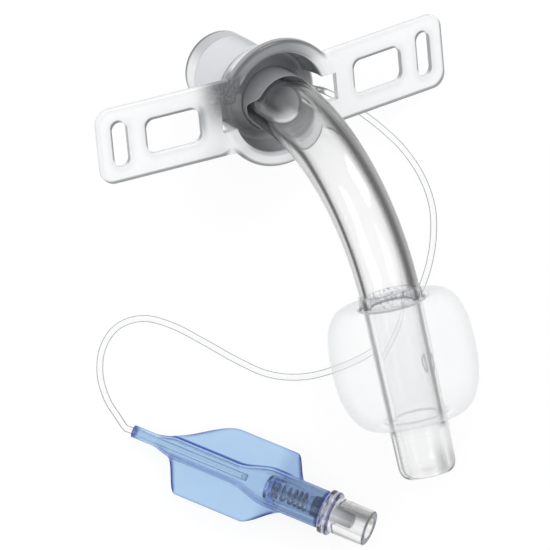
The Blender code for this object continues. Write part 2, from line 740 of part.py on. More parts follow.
# Inflation line: from the tube wall out through the side opening, round on the
# table under the cuff, and into the balloon's sleeve


def in_frame(frame, point):
    return np.array(frame.matrix_world @ (Vector(point) * MM)) / MM


port = np.array(line_port)
leaving = np.array(line_direction)
route = [in_frame(tube_frame, port + leaving * d) for d in (CLOSE_FIT - socket_depth, 0.4, 2.0)]
route += [in_frame(tube_frame, p) for p in ((-3.6, 10.2, -1.1), (-5.0, 12.6, -2.6))]
table_x, table_y = tube_place[0] / MM, tube_place[1] / MM
route += [(x + table_x, y + table_y, z + LINE_R) for x, y, z in LINE_ON_TABLE]
route += [in_frame(balloon_frame, (x, 0, 0)) for x in (-1.8, -0.4)]
route += [in_frame(balloon_frame, (LINE_INSIDE * share, 0, 0)) for share in (0.07, 0.2, 0.45, 0.73, 1.0)]
line = wire_object("inflation_line", smooth_route(route, LINE_STEP), LINE_R, 2)

# Plain colours, one material per piece
for obj, colour, roughness, alpha in (
        (cannula, (0.86, 0.88, 0.90), 0.12, 0.45),
        (flange, (0.82, 0.84, 0.86), 0.20, 0.6),
        (connector, (0.80, 0.83, 0.86), 0.45, 0.85),
        (cuff, (0.90, 0.92, 0.93), 0.15, 0.3),
        (line, (0.84, 0.86, 0.86), 0.20, 0.6),
        (balloon, (0.38, 0.60, 0.90), 0.20, 0.6),
        (valve_body, (0.88, 0.90, 0.92), 0.10, 0.5),
        (plunger, (0.70, 0.72, 0.75), 0.35, 1.0),
        (seal, (0.03, 0.03, 0.035), 0.60, 1.0),
        (spring, (0.55, 0.54, 0.50), 0.30, 1.0)):
    obj.data.materials.append(material(obj.name + "_finish", colour, roughness, alpha))
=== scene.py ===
import math

import bmesh
import bpy
import numpy as np
from mathutils import Euler, Matrix, Vector, geometry


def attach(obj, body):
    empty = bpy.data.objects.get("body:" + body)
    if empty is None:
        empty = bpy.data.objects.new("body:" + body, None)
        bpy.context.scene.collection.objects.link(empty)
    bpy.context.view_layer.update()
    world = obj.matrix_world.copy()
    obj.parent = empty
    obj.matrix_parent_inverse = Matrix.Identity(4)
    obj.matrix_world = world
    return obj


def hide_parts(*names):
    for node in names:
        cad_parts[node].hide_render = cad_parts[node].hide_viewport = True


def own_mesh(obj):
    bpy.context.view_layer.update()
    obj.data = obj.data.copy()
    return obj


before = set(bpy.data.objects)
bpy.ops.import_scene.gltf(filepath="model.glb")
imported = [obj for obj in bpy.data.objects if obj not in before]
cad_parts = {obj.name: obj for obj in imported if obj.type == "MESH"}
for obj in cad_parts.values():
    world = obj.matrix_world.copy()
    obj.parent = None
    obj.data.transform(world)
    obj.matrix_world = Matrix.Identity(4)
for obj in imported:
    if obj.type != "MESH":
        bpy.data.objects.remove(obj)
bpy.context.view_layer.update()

mm = 0.001
print("frame loaded:", len(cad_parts), "nodes")

# Where the two frames lie: the tube set and the balloon with its valve
places = {
    "tube": {"at": (0.0013355, 0.0277252, 0.02066), "turn": (-26.54403, -36.92111, -59.2655)},
    "balloon": {"at": (-0.0401645, -0.0251748, 0.0023046), "turn": (0.0, -2.86241, -37.70001)},
}


def frameOf(name):
    # place matrix of one of the frames, rotation then translation
    place = places[name]
    turn = Euler([math.radians(a) for a in place["turn"]]).to_matrix().to_4x4()
    return Matrix.Translation(place["at"]) @ turn


def toWorld(points, name):
    # world = R p + t for an array of points given in millimetres
    place = np.array(frameOf(name))
    return np.asarray(points, float) * mm @ place[:3, :3].T + place[:3, 3]


# Camera at the photo's viewing angle, with a long lens
view = {
    "at": (-0.02003258, -0.51517753, 1.26393646),
    "turn": (21.8464313, 4.2109610, -11.8456722),
    "lens": 457.8,
    "film": 36.0,
}
cameraData = bpy.data.cameras.new("studioCamera")
cameraData.lens = view["lens"]
cameraData.sensor_width = view["film"]
camera = bpy.data.objects.new("studioCamera", cameraData)
bpy.context.scene.collection.objects.link(camera)
camera.location = view["at"]
camera.rotation_euler = [math.radians(a) for a in view["turn"]]
bpy.context.scene.camera = camera


# Shader maths: a signal is one output of a node, and sums on it add Math nodes
class Signal:
    def __init__(self, bench, socket):
        self.bench = bench
        self.socket = socket

    def maths(self, operation, first, second=None):
        values = {0: first} if second is None else {0: first, 1: second}
        return self.bench.node("ShaderNodeMath", {"operation": operation}, values)

    def __add__(self, other):
        return self.maths("ADD", self, other)

    def __radd__(self, other):
        return self.maths("ADD", other, self)

    def __sub__(self, other):
        return self.maths("SUBTRACT", self, other)

    def __rsub__(self, other):
        return self.maths("SUBTRACT", other, self)

    def __mul__(self, other):
        return self.maths("MULTIPLY", self, other)

    def __rmul__(self, other):
        return self.maths("MULTIPLY", other, self)

    def __truediv__(self, other):
        return self.maths("DIVIDE", self, other)

    def __pow__(self, other):
        return self.maths("POWER", self, other)

    def __abs__(self):
        return self.maths("ABSOLUTE", self)

    def most(self, other):
        return self.maths("MAXIMUM", self, other)

    def least(self, other):
        return self.maths("MINIMUM", self, other)


class Bench:
    def __init__(self, name, tree=None, output="ShaderNodeOutputMaterial"):
        self.material = None
        if tree is None:
            self.material = bpy.data.materials.new(name)
            self.material.use_nodes = True
            tree = self.material.node_tree
        self.tree = tree
        tree.nodes.clear()
        self.output = tree.nodes.new(output)

    def node(self, kind, settings=None, values=None, out=0):
        # any node: its settings first, then the values or links of its sockets
        made = self.tree.nodes.new(kind)
        for key, value in (settings or {}).items():
            if key == "stops":
                self.setStops(made.color_ramp, value)
            else:
                setattr(made, key, value)
        for key, value in (values or {}).items():
            socket = made.inputs[key]
            if isinstance(value, Signal):
                self.tree.links.new(value.socket, socket)
            elif isinstance(value, tuple) and len(value) == 3 and socket.type == "RGBA":
                socket.default_value = (*value, 1.0)
            else:
                socket.default_value = value
        return Signal(self, made.outputs[out])

    def setStops(self, ramp, stops):
        while len(ramp.elements) < len(stops):
            ramp.elements.new(0.5)
        for element, (position, grey) in zip(ramp.elements, stops):
            element.position = position
            element.color = (grey, grey, grey, 1.0)

    def ramp(self, signal, stops):
        return self.node("ShaderNodeValToRGB", {"stops": stops}, {0: signal})

    def fade(self, signal, low, high):
        # smooth step from 0 at low to 1 at high
        return self.node("ShaderNodeMapRange", {"interpolation_type": "SMOOTHSTEP"},
                         {"Value": signal, "From Min": low, "From Max": high})

    def fall(self, signal, low, high):
        # smooth step from 1 at low to 0 at high
        return 1 - self.fade(signal, low, high)

    def between(self, signal, start, end):
        # rises to 1 over the two values of start and falls back to 0 over the two of end
        return self.fade(signal, *start) * self.fall(signal, *end)

    def near(self, signal, middle, inner, outer):
        # 1 closer than inner to the middle, 0 beyond outer
        return self.fall(abs(signal - middle), inner, outer)

    def clamp(self, signal):
        return self.node("ShaderNodeClamp", None, {"Value": signal})

    def colour(self, factor, first, second):
        return self.node("ShaderNodeMix", {"data_type": "RGBA"}, {0: factor, 6: first, 7: second}, 2)

    def shade(self, factor, first, second):
        return self.node("ShaderNodeMixShader", None, {0: factor, 1: first, 2: second})

    def plastic(self, colour, roughness, ior=1.5, more=None):
        return self.node("ShaderNodeBsdfPrincipled", None, {
            "Base Color": colour, "Roughness": roughness, "IOR": ior, **(more or {})})

    def transparent(self, colour):
        return self.node("ShaderNodeBsdfTransparent", None, {"Color": colour})

    def facing(self):
        # 0 where the surface faces the view, 1 at its outline
        return self.node("ShaderNodeLayerWeight", None, {"Blend": 0.5}, 1)

    def reading(self, name):
        # a point attribute of the mesh
        return self.node("ShaderNodeAttribute", {"attribute_name": name}, None, 2)

    def position(self, name):
        # object coordinates brought into one of the frames, in millimetres
        inverse = frameOf(name).inverted()
        seat = self.node("ShaderNodeTexCoord", None, None, 3)
        moved = self.node("ShaderNodeMapping", None, {
            "Vector": seat, "Scale": (1000.0, 1000.0, 1000.0),
            "Rotation": tuple(inverse.to_euler()), "Location": tuple(inverse.translation / mm)})
        split = self.node("ShaderNodeSeparateXYZ", None, {0: moved})
        return [Signal(self, split.socket.node.outputs[k]) for k in range(3)], moved

    def noise(self, vector, scale, detail=2.0):
        return self.node("ShaderNodeTexNoise", None, {"Vector": vector, "Scale": scale, "Detail": detail})

    def bump(self, height, strength, distance):
        return self.node("ShaderNodeBump", None,
                         {"Strength": strength, "Distance": distance, "Height": height})

    def openToLamps(self, shader, tint):
        # rays from lamps go through, so that clear plastic casts a light shadow
        shadow = self.node("ShaderNodeLightPath", None, None, 1)
        return self.shade(shadow, shader, self.transparent(tint))

    def done(self, shader):
        self.tree.links.new(shader.socket, self.output.inputs[0])
        return self.material


# Meshes: a grid of points is worked out with numpy and joined into faces
def skin(name, grid, place, closeRows=True, closeColumns=True, capped=False):
    # mesh over a grid of points: faces join each point to the next row and the next column
    rows, columns = grid.shape[:2]
    index = np.arange(rows * columns).reshape(rows, columns)
    lower = index if closeRows else index[:-1]
    upper = np.roll(index, -1, axis=0) if closeRows else index[1:]
    if closeColumns:
        corners = (lower, upper, np.roll(upper, -1, axis=1), np.roll(lower, -1, axis=1))
    else:
        corners = (lower[:, :-1], upper[:, :-1], upper[:, 1:], lower[:, 1:])
    faces = np.stack(corners, axis=-1).reshape(-1, 4).tolist()
    if capped:
        faces += [index[0].tolist(), index[-1].tolist()]
    mesh = bpy.data.meshes.new(name)
    points = toWorld(grid.reshape(-1, 3), place) if place else grid.reshape(-1, 3)
    mesh.from_pydata(points.tolist(), [], faces)
    return outward(mesh)


def outward(mesh):
    # every face turned to point out
    work = bmesh.new()
    work.from_mesh(mesh)
    bmesh.ops.recalc_face_normals(work, faces=work.faces)
    work.to_mesh(mesh)
    work.free()
    return mesh


def place3d(name, mesh):
    made = bpy.data.objects.new(name, mesh)
    bpy.context.scene.collection.objects.link(made)
    return made


def combine(target, tool, operation):
    # cut or join that is worked out at once; the tool is used up
    step = target.modifiers.new(operation, "BOOLEAN")
    step.operation = operation
    step.object = tool
    graph = bpy.context.evaluated_depsgraph_get()
    result = bpy.data.meshes.new_from_object(target.evaluated_get(graph))
    target.modifiers.clear()
    target.data = result
    bpy.data.objects.remove(tool, do_unlink=True)


def soften(made, angle):
    made.data.shade_smooth()
    made.data.set_sharp_from_angle(angle=math.radians(angle))


def dress(made, finish, body, node, angle=35):
    # last steps of a piece: finish, smooth faces, the body it rides on and the node it stands for
    made.data.materials.clear()
    made.data.materials.append(finish)
    soften(made, angle)
    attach(made, body)
    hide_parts(node)


def filleted(corners, steps=6):
    # profile through (along, out, fillet) corners; each fillet is an arc tangent to both sides
    loop = np.array([c[:2] for c in corners], float)
    fillets = np.array([c[2] for c in corners], float)
    before = np.roll(loop, 1, axis=0) - loop
    after = np.roll(loop, -1, axis=0) - loop
    longs = np.linalg.norm(before, axis=1), np.linalg.norm(after, axis=1)
    before /= longs[0][:, None]
    after /= longs[1][:, None]
    half = 0.5 * np.arccos(np.clip((before * after).sum(axis=1), -0.99999, 0.99999))
    reach = np.minimum(fillets / np.tan(half), 0.49 * np.minimum(*longs))
    share = np.linspace(0.0, 1.0, steps + 1)[None, :, None]
    start = (loop + before * reach[:, None])[:, None]
    end = (loop + after * reach[:, None])[:, None]
    weight = 2.0 * np.sin(half)[:, None, None] * share * (1 - share)
    top = (1 - share) ** 2 * start + weight * loop[:, None] + share ** 2 * end
    arcs = top / ((1 - share) ** 2 + weight + share ** 2)
    keep = (fillets > 0)[:, None] | (np.arange(steps + 1) == 0)[None, :]
    return arcs.reshape(-1, 2)[keep.reshape(-1)]


def denser(profile, step):
    # closed profile with extra points, so that no side is longer than step
    ends = np.roll(profile, -1, axis=0)
    counts = np.ceil(np.linalg.norm(ends - profile, axis=1) / step).astype(int).clip(1, None)
    start = np.repeat(profile, counts, axis=0)
    run = np.repeat(ends - profile, counts, axis=0)
    first = np.repeat(np.cumsum(counts) - counts, counts)
    return start + run * ((np.arange(len(start)) - first) / np.repeat(counts, counts))[:, None]


# Tube and its centre line, which the connector, the plate and the cuff follow
tubeValues = {
    # sizes in mm, turns in radians
    "rootRadius": 6.2, "tipRadius": 5.6, "wall": 1.6, "rear": -8.4, "arcStart": -0.7,
    "arcRadius": 40.0, "arcAngle": math.radians(75.0), "straight": 34.0, "tipNose": 2.4, "tipEdge": 0.35,
    "sides": 120, "eyeAt": 64.6, "eyeTurn": math.radians(15), "eyeLong": 1.65, "eyeWide": 0.99,
    "eyeRimLong": 1.5, "eyeRimWide": 1.3,
    # colours that the wall lets through, cloudy and clear, and where the cuff's film lies round it
    "cloudy": (0.95, 0.955, 0.955), "clear": (0.985, 0.985, 0.985), "inCuff": (0.87, 0.88, 0.89),
    # painted shade round the eye and in the tip's corner, then the tint of lamp light through the wall
    "eyeShade": (0.02, 0.022, 0.025), "tipShade": (0.22, 0.225, 0.23), "shadow": (0.86, 0.87, 0.88),
    # the part in the cup, painted shade and light: tint, two dark shades, and the painted highlight along its
    # slanting edge
    "rootShadeTint": (0.60, 0.62, 0.63), "rootShadeDark": (0.36, 0.375, 0.385), "rootShadeLight": (0.46, 0.475, 0.485),
    "rootHighlight": (0.78, 0.80, 0.82),
    # stations in mm: bands near the root, where the cuff covers the tube, and the dark corner at the tip
    "nearRoot": (9.0, 20.0), "cuffFrom": (48.6, 50.2), "cuffTo": (75.6, 77.2), "tipFrom": (79.5, 84.6),
    # painted shade bands along the sides: how much light comes through, by how far the wall turns from the
    # viewer
    "left": [(0.0, 0.97), (0.20, 0.92), (0.27, 0.68), (0.325, 0.42), (0.355, 0.13), (0.385, 0.010),
             (0.455, 0.010), (0.49, 0.16), (0.54, 0.46), (0.60, 0.50), (0.68, 0.34), (0.80, 0.70),
             (1.0, 0.92)],
    "right": [(0.0, 0.97), (0.09, 0.90), (0.134, 0.74), (0.165, 0.56), (0.20, 0.32), (0.24, 0.13),
              (0.286, 0.035), (0.34, 0.014), (0.42, 0.018), (0.46, 0.05), (0.52, 0.17), (0.60, 0.38),
              (0.72, 0.56), (0.85, 0.66), (1.0, 0.72)],
    "cuffLeft": [(0.0, 0.95), (0.38, 0.90), (0.43, 0.40), (0.46, 0.05), (0.50, 0.01), (0.62, 0.01),
                 (0.68, 0.08), (0.76, 0.60), (1.0, 0.90)],
    "cuffRight": [(0.0, 0.95), (0.20, 0.86), (0.30, 0.52), (0.37, 0.15), (0.41, 0.01), (0.51, 0.01),
                  (0.55, 0.12), (0.60, 0.60), (0.70, 0.80), (1.0, 0.90)],
    "tipLeft": [(0.0, 0.97), (0.36, 0.92), (0.43, 0.42), (0.49, 0.14), (0.54, 0.60), (0.60, 0.88),
                (0.68, 0.30), (0.74, 0.02), (1.0, 0.01)],
    "tipRight": [(0.0, 0.97), (0.12, 0.92), (0.19, 0.70), (0.25, 0.86), (0.45, 0.84), (0.60, 0.72),
                 (0.75, 0.78), (0.90, 0.70), (1.0, 0.60)],
}
arcLength = tubeValues["arcRadius"] * tubeValues["arcAngle"]
tipAt = tubeValues["arcStart"] + arcLength + tubeValues["straight"]


def onTube(s):
    # centre = straight part, arc of R(sin a, cos a - 1), then straight on; forward and up turn with a
    s = np.asarray(s, float)
    a = np.clip((s - tubeValues["arcStart"]) / tubeValues["arcRadius"], 0.0, tubeValues["arcAngle"])
    beyond = np.maximum(s - tubeValues["arcStart"] - arcLength, 0.0)[..., None]
    none = np.zeros_like(s)
    forward = np.stack([np.cos(a), none, -np.sin(a)], axis=-1)
    upward = np.stack([np.sin(a), none, np.cos(a)], axis=-1)
    centre = np.stack([np.minimum(s, tubeValues["arcStart"]), none, none], axis=-1)
    centre = centre + tubeValues["arcRadius"] * np.stack([np.sin(a), none, np.cos(a) - 1.0], axis=-1)
    return centre + beyond * forward, forward, upward


def onAxis(s):
    # straight centre line along x
    s = np.asarray(s, float)
    unit = np.ones_like(s)
    none = np.zeros_like(s)
    return (np.stack([s, none, none], axis=-1), np.stack([unit, none, none], axis=-1),
            np.stack([none, none, unit], axis=-1))


def tubeRadius(s):
    # root + (tip - root) s / length
    share = np.clip(np.asarray(s, float) / tipAt, 0.0, 1.0)
    return tubeValues["rootRadius"] + (tubeValues["tipRadius"] - tubeValues["rootRadius"]) * share


def turned(profile, sides, along=onAxis):
    # grid(s, angle) = centre(s) + r (cos angle * side + sin angle * up)
    profile = np.asarray(profile, float)
    centre, _, upward = along(profile[:, 0])
    angle = np.linspace(0.0, 2.0 * math.pi, sides, endpoint=False)
    side = np.array([0.0, 1.0, 0.0])
    out = np.cos(angle)[None, :, None] * side + np.sin(angle)[None, :, None] * upward[:, None]
    return centre[:, None] + profile[:, 1][:, None, None] * out


def along3d(points, radius, sides, square=False):
    # round tube on a path: rings stand across the path, kept from twisting by a fixed helper axis
    points = np.asarray(points, float)
    run = np.gradient(points, axis=0)
    run /= np.linalg.norm(run, axis=1)[:, None]
    helper = np.array([0.0, 0.0, 1.0]) if not square else np.array([1.0, 0.0, 0.0])
    side = np.cross(run, helper)
    side /= np.linalg.norm(side, axis=1)[:, None]
    up = np.cross(side, run)
    angle = np.linspace(0.0, 2.0 * math.pi, sides, endpoint=False)
    ring = np.cos(angle)[None, :, None] * side[:, None] + np.sin(angle)[None, :, None] * up[:, None]
    radius = np.broadcast_to(np.asarray(radius, float), (len(points),))
    return points[:, None] + radius[:, None, None] * ring


def smoothRoute(stops, step):
    # cubic curve through the stops, sloped at each by the two beside it, then even points along it
    stops = np.asarray(stops, float)
    padded = np.vstack([2 * stops[0] - stops[1], stops, 2 * stops[-1] - stops[-2]])
    a, b, c, d = (padded[k:len(padded) - 3 + k, None] for k in range(4))
    t = np.linspace(0.0, 1.0, 24, endpoint=False)[None, :, None]
    fine = 0.5 * (2 * b + (c - a) * t + (2 * a - 5 * b + 4 * c - d) * t ** 2
                  + (3 * b - a - 3 * c + d) * t ** 3)
    fine = np.vstack([fine.reshape(-1, 3), stops[-1:]])
    run = np.concatenate([[0.0], np.cumsum(np.linalg.norm(np.diff(fine, axis=0), axis=1))])
    even = np.linspace(0.0, run[-1], int(round(run[-1] / step)) + 1)
    return np.stack([np.interp(even, run, fine[:, k]) for k in range(3)], axis=1), run[-1]


# Inflation line, one curve from the tube's wall to the balloon
lineValues = {
    "radius": 0.00065, "bore": 0.00036, "boreDepth": 0.001, "step": 0.001, "sides": 20,
    # colours: clear middle, painted shade along the outline, clear film and painted shade at the open end
    "middle": (0.90, 0.91, 0.92), "wall": (0.07, 0.075, 0.08), "clear": (0.99, 0.992, 0.994),
    "endRingShade": (0.07, 0.08, 0.11), "roughness": 0.18,
}
# Stops in metres: out of the tube wall, through the side opening, round on the table, into the sleeve
lineStops = [
    (0.00519, 0.03051, 0.01746), (0.00624, 0.03099, 0.01673), (0.00747, 0.03155, 0.01587),
    (0.00899, 0.03175, 0.01407), (0.01043, 0.03222, 0.01130), (0.01334, 0.03093, 0.00840),
    (0.01734, 0.02833, 0.00420), (0.02064, 0.02493, 0.00180), (0.02334, 0.02073, 0.00080),
    (0.02544, 0.01473, 0.00065), (0.02614, 0.00823, 0.00065), (0.02514, 0.00213, 0.00065),
    (0.02294, -0.00387, 0.00065), (0.01954, -0.00957, 0.00065), (0.01454, -0.01497, 0.00065),
    (0.00834, -0.01907, 0.00065), (0.00114, -0.02097, 0.00065), (-0.00586, -0.02117, 0.00065),
    (-0.01226, -0.01907, 0.00065), (-0.01786, -0.01467, 0.00065), (-0.02306, -0.00967, 0.00065),
    (-0.02836, -0.00487, 0.00065), (-0.03366, -0.00197, 0.00065), (-0.03896, -0.00247, 0.00065),
    (-0.04266, -0.00617, 0.00065), (-0.04426, -0.01147, 0.00065), (-0.04396, -0.01687, 0.00090),
    (-0.04256, -0.02127, 0.00150), (-0.04159, -0.02408, 0.00221), (-0.04048, -0.02493, 0.00228),
    (-0.03881, -0.02622, 0.00239), (-0.03629, -0.02817, 0.00255), (-0.03145, -0.03191, 0.00286),
    (-0.02603, -0.03610, 0.00320), (-0.02080, -0.04014, 0.00353),
]


def clearLine():
    bench = Bench("clearLine")
    look = lineValues
    # painted shade along the outline, where the wall is seen edge-on
    wall = bench.fade(bench.facing(), 0.30, 0.60)
    # painted shade: the open end shows as a dark ring inside the balloon
    (x, y, z), _ = bench.position("balloon")
    endRingShade = bench.fade(x, 24.3, 24.7) * bench.fall(abs(y), 0.7, 1.0) * bench.fall(abs(z), 1.5, 2.0)
    skinShader = bench.plastic(bench.colour(wall, look["middle"], look["wall"]), look["roughness"])
    dark = bench.node("ShaderNodeBsdfDiffuse", None, {"Color": look["endRingShade"]})
    film = bench.shade(0.03 + 0.85 * wall, bench.transparent(look["clear"]), skinShader)
    return bench.done(bench.shade(endRingShade * 0.85, film, dark))


route, routeLength = smoothRoute(lineStops, lineValues["step"])
outer = along3d(route, lineValues["radius"], lineValues["sides"])
boreFrom = len(route) - 1 - int(round(lineValues["boreDepth"] / lineValues["step"]))
inner = along3d(route, lineValues["bore"], lineValues["sides"])[boreFrom:][::-1]
line = place3d("inflation_tubing", skin("inflation_tubing", np.vstack([outer, inner]), None,
                                        closeRows=False, capped=True))
print("inflation line", round(routeLength * 1000, 1), "mm")


def tubeShell():
    # section of the wall, carried along the centre line; the nose is a quarter ellipse:
    # s = tip - nose (1 - cos v), r = edge + (outer - edge) sin v
    size = tubeValues
    inside = size["tipRadius"] - size["wall"]
    lean = np.radians(np.linspace(90, 0, 14))
    nose = np.stack([tipAt - size["tipNose"] * (1 - np.cos(lean)),
                     inside + size["tipEdge"] + (size["wall"] - size["tipEdge"]) * np.sin(lean)], axis=1)
    lean = np.radians(np.linspace(0, -90, 7))[1:]
    edge = np.stack([tipAt - size["tipEdge"] * (1 - np.cos(lean)),
                     inside + size["tipEdge"] * (1 + np.sin(lean))], axis=1)
    rear = [(size["rear"], size["rootRadius"] - size["wall"]), (size["rear"], size["rootRadius"] - 0.3),
            (size["rear"] + 0.3, size["rootRadius"])]
    profile = denser(np.vstack([rear, nose, edge]), 0.8)
    # the wall thins evenly from root to tip, so the sides follow tubeRadius
    s, r = profile.T
    straight = (s > size["rear"] + 0.2) & (s < tipAt - size["tipNose"])
    r = np.where(straight, tubeRadius(s) - np.where(r < 0.5 * (inside + size["tipRadius"]) + 0.2,
                                                   size["wall"], 0.0), r)
    return turned(np.stack([s, r], axis=1), size["sides"], onTube)


def alongTube(points):
    # inverse of onTube: station s, distance r and turn about the centre line, for points of the tube frame
    x, y, z = points.T
    x = x - tubeValues["arcStart"]
    z = z + tubeValues["arcRadius"]
    angle = np.clip(np.arctan2(x, z), 0.0, tubeValues["arcAngle"])
    forward = x * np.cos(angle) - z * np.sin(angle)
    upward = x * np.sin(angle) + z * np.cos(angle) - tubeValues["arcRadius"]
    station = tubeValues["arcStart"] + tubeValues["arcRadius"] * angle + forward
    return station, np.hypot(y, upward), np.arctan2(upward, y)


def isOutside(points):
    # true for the outer half of the wall
    station, radius, _ = alongTube(points)
    return radius > tubeRadius(station) - 0.5 * tubeValues["wall"]


def fromEye(points):
    # 1 on the rim of the side eye: sqrt((ds / long)^2 + (r dturn / wide)^2)
    station, radius, turn = alongTube(points)
    return np.hypot((station - tubeValues["eyeAt"]) / tubeValues["eyeRimLong"],
                    radius * (turn - tubeValues["eyeTurn"]) / tubeValues["eyeRimWide"])


def keepReadings(made, name, **readings):
    # point attributes from functions of the points, given in a frame's millimetres
    count = len(made.data.vertices)
    points = np.empty(count * 3)
    made.data.vertices.foreach_get("co", points)
    place = np.array(frameOf(name))
    points = (points.reshape(-1, 3) - place[:3, 3]) @ place[:3, :3] / mm
    for label, reading in readings.items():
        layer = made.data.attributes.new(label, "FLOAT", "POINT")
        layer.data.foreach_set("value", np.ascontiguousarray(reading(points), dtype=np.float32))


def tubeFinish():
    bench = Bench("clearPvc")
    look = tubeValues
    (x, y, z), place = bench.position("tube")
    edge = bench.facing()
    along = bench.reading("along")
    outside = bench.reading("outside")
    # near the root the tube points at the viewer's side, so there the left line moves outward
    left = bench.ramp(edge - 0.15 * bench.fall(along, *look["nearRoot"]), look["left"])
    right, cuffLeft, cuffRight, tipLeft, tipRight = [
        bench.ramp(edge, look[name]) for name in ("right", "cuffLeft", "cuffRight", "tipLeft", "tipRight")]
    across = bench.fade(y, -1.5, 1.5)
    inCuff = bench.fade(along, *look["cuffFrom"])
    below = bench.fade(along, *look["cuffTo"])
    bands = bench.colour(inCuff, bench.colour(across, left, right), bench.colour(across, cuffLeft, cuffRight))
    bands = bench.colour(below, bands, bench.colour(across, tipLeft, tipRight))
    tipCorner = bench.fade(along, *look["tipFrom"]) * bench.fade(y, 3.6, 5.4)
    bands = bench.colour(tipCorner * 0.8, bands, look["tipShade"])
    cloud = bench.noise(place, 0.35)
    clear = bench.colour(cloud, look["cloudy"], look["clear"])
    clear = bench.colour(inCuff * (1 - below) * 0.8, clear, look["inCuff"])
    tint = bench.colour(outside, clear, bands)
    # painted shade: a dark rim round the inflation eye, seen through the wall
    eyeShade = bench.near(bench.reading("eye"), 1.0, 0.10, 0.42)
    tint = bench.colour(eyeShade * 0.95, tint, look["eyeShade"])
    # painted shade: the root stands in the dark cup up to a slanting line, and there it is tinted dark and
    # mixed with a dark shade
    slant = 4.0 * bench.fade(z, 0.0, 3.5) + 4.5 * bench.fade(z, -1.5, -4.0) - 2.2
    stands = along - slant
    root = bench.fall(stands, -0.5, 0.1) * outside
    tint = bench.colour(root, tint, look["rootShadeTint"])
    cupShade = bench.plastic(bench.colour(cloud, look["rootShadeDark"], look["rootShadeLight"]), 0.35)
    glass = bench.plastic(tint, bench.fade(cloud, 0.3, 0.9) * 0.04, 1.5, {"Transmission Weight": 1.0})
    shader = bench.shade(root * 0.6, glass, cupShade)
    # painted highlight: a pale line along the slanting edge
    highlightLine = bench.near(stands, -0.15, 0.03, 0.19) * outside * bench.fade(z, -2.0, 0.5)
    shader = bench.shade(highlightLine * 0.42, shader, bench.plastic(look["rootHighlight"], 0.3))
    return bench.done(bench.openToLamps(shader, look["shadow"]))


tube = place3d("clear_tube", skin("clear_tube", tubeShell(), "tube"))
eyeCentre, eyeForward, eyeUp = onTube(tubeValues["eyeAt"])
eyeOut = math.cos(tubeValues["eyeTurn"]) * np.array([0.0, 1.0, 0.0]) + math.sin(tubeValues["eyeTurn"]) * eyeUp
latitude = np.linspace(0.03, math.pi - 0.03, 24)[:, None]
longitude = np.linspace(0.0, 2 * math.pi, 40, endpoint=False)[None, :]
# egg that cuts the eye: (long cos u, wide sin u cos v, wide sin u sin v), half sunk in the wall
ball = np.stack([tubeValues["eyeLong"] * np.cos(latitude) + 0 * longitude,
                 tubeValues["eyeWide"] * np.sin(latitude) * np.cos(longitude),
                 tubeValues["eyeWide"] * np.sin(latitude) * np.sin(longitude)], axis=-1)
across = np.cross(eyeForward, eyeOut)
ball = ball @ np.array([eyeForward, eyeOut, across])
ball = ball + eyeCentre + (tubeRadius(tubeValues["eyeAt"]) + 0.25) * eyeOut
combine(tube, place3d("eyeCutter", skin("eyeCutter", ball, "tube", closeRows=False, capped=True)),
        "DIFFERENCE")
keepReadings(tube, "tube", along=lambda p: alongTube(p)[0], outside=isOutside, eye=fromEye)
print("curved tube", len(tube.data.polygons), "faces")

# Neck plate: a round cup with a raised lip, and two swept wings
plateValues = {
    # sizes in mm
    "reach": 38.8, "height": 15.4, "thick": 1.4, "corner": 3.0, "edge": 0.35,
    "sweep": math.radians(5.7), "hinge": 11.7, "slotToEnd": 3.1, "slotWidth": 3.1, "slotHeight": 9.2,
    "windowToSlot": 4.0, "windowToLip": 4.4, "windowHeight": 7.0, "windowCorner": 1.7,
    "lipRadius": 12.9, "mouthRadius": 10.1, "lipProud": 0.6, "depth": 6.2, "wall": 1.3, "portReach": 12.9,
    "portHeight": 5.6, "fit": 0.3, "sides": 128,
    # milky plastic and painted shade along the edges; far edges show this much outward and upward, in mm
    "cloudy": (0.935, 0.95, 0.955), "clear": (0.99, 0.995, 1.0), "soft": (0.22, 0.23, 0.245),
    "farEdgeShade": (0.115, 0.12, 0.13), "wallShade": (0.20, 0.21, 0.225), "inner": (0.22, 0.235, 0.25),
    "outline": (0.20, 0.21, 0.22), "shadow": (0.7, 0.71, 0.72), "farShift": (0.50, 0.72),
    # lip, painted light to painted shade, then the painted shade of its outer line and inner line
    # and the grey patch on the left, and how far from the centre line the lip starts and ends
    "lipLight": (0.95, 0.955, 0.96), "lipDark": (0.30, 0.32, 0.33), "lipOuterShade": (0.09, 0.095, 0.10),
    "lipInnerShade": (0.16, 0.17, 0.175), "wingShade": (0.15, 0.16, 0.165),
    "lipFrom": (9.9, 10.6), "lipTo": (12.7, 13.3),
    # inside of the cup, painted shade: side wall low, right and left; floor low, high left and high right;
    # painted light on the lower rim
    "wallLow": (0.26, 0.262, 0.262), "wallRight": (0.075, 0.085, 0.09), "wallLeft": (0.15, 0.158, 0.165),
    "floorLow": (0.29, 0.295, 0.30), "floorLeft": (0.27, 0.28, 0.285), "floorRight": (0.17, 0.18, 0.185),
    "cupLit": (0.55, 0.56, 0.57),
}
bore = tubeValues["rootRadius"] + plateValues["fit"]
cupBack = -plateValues["depth"] - plateValues["wall"] - 1.0


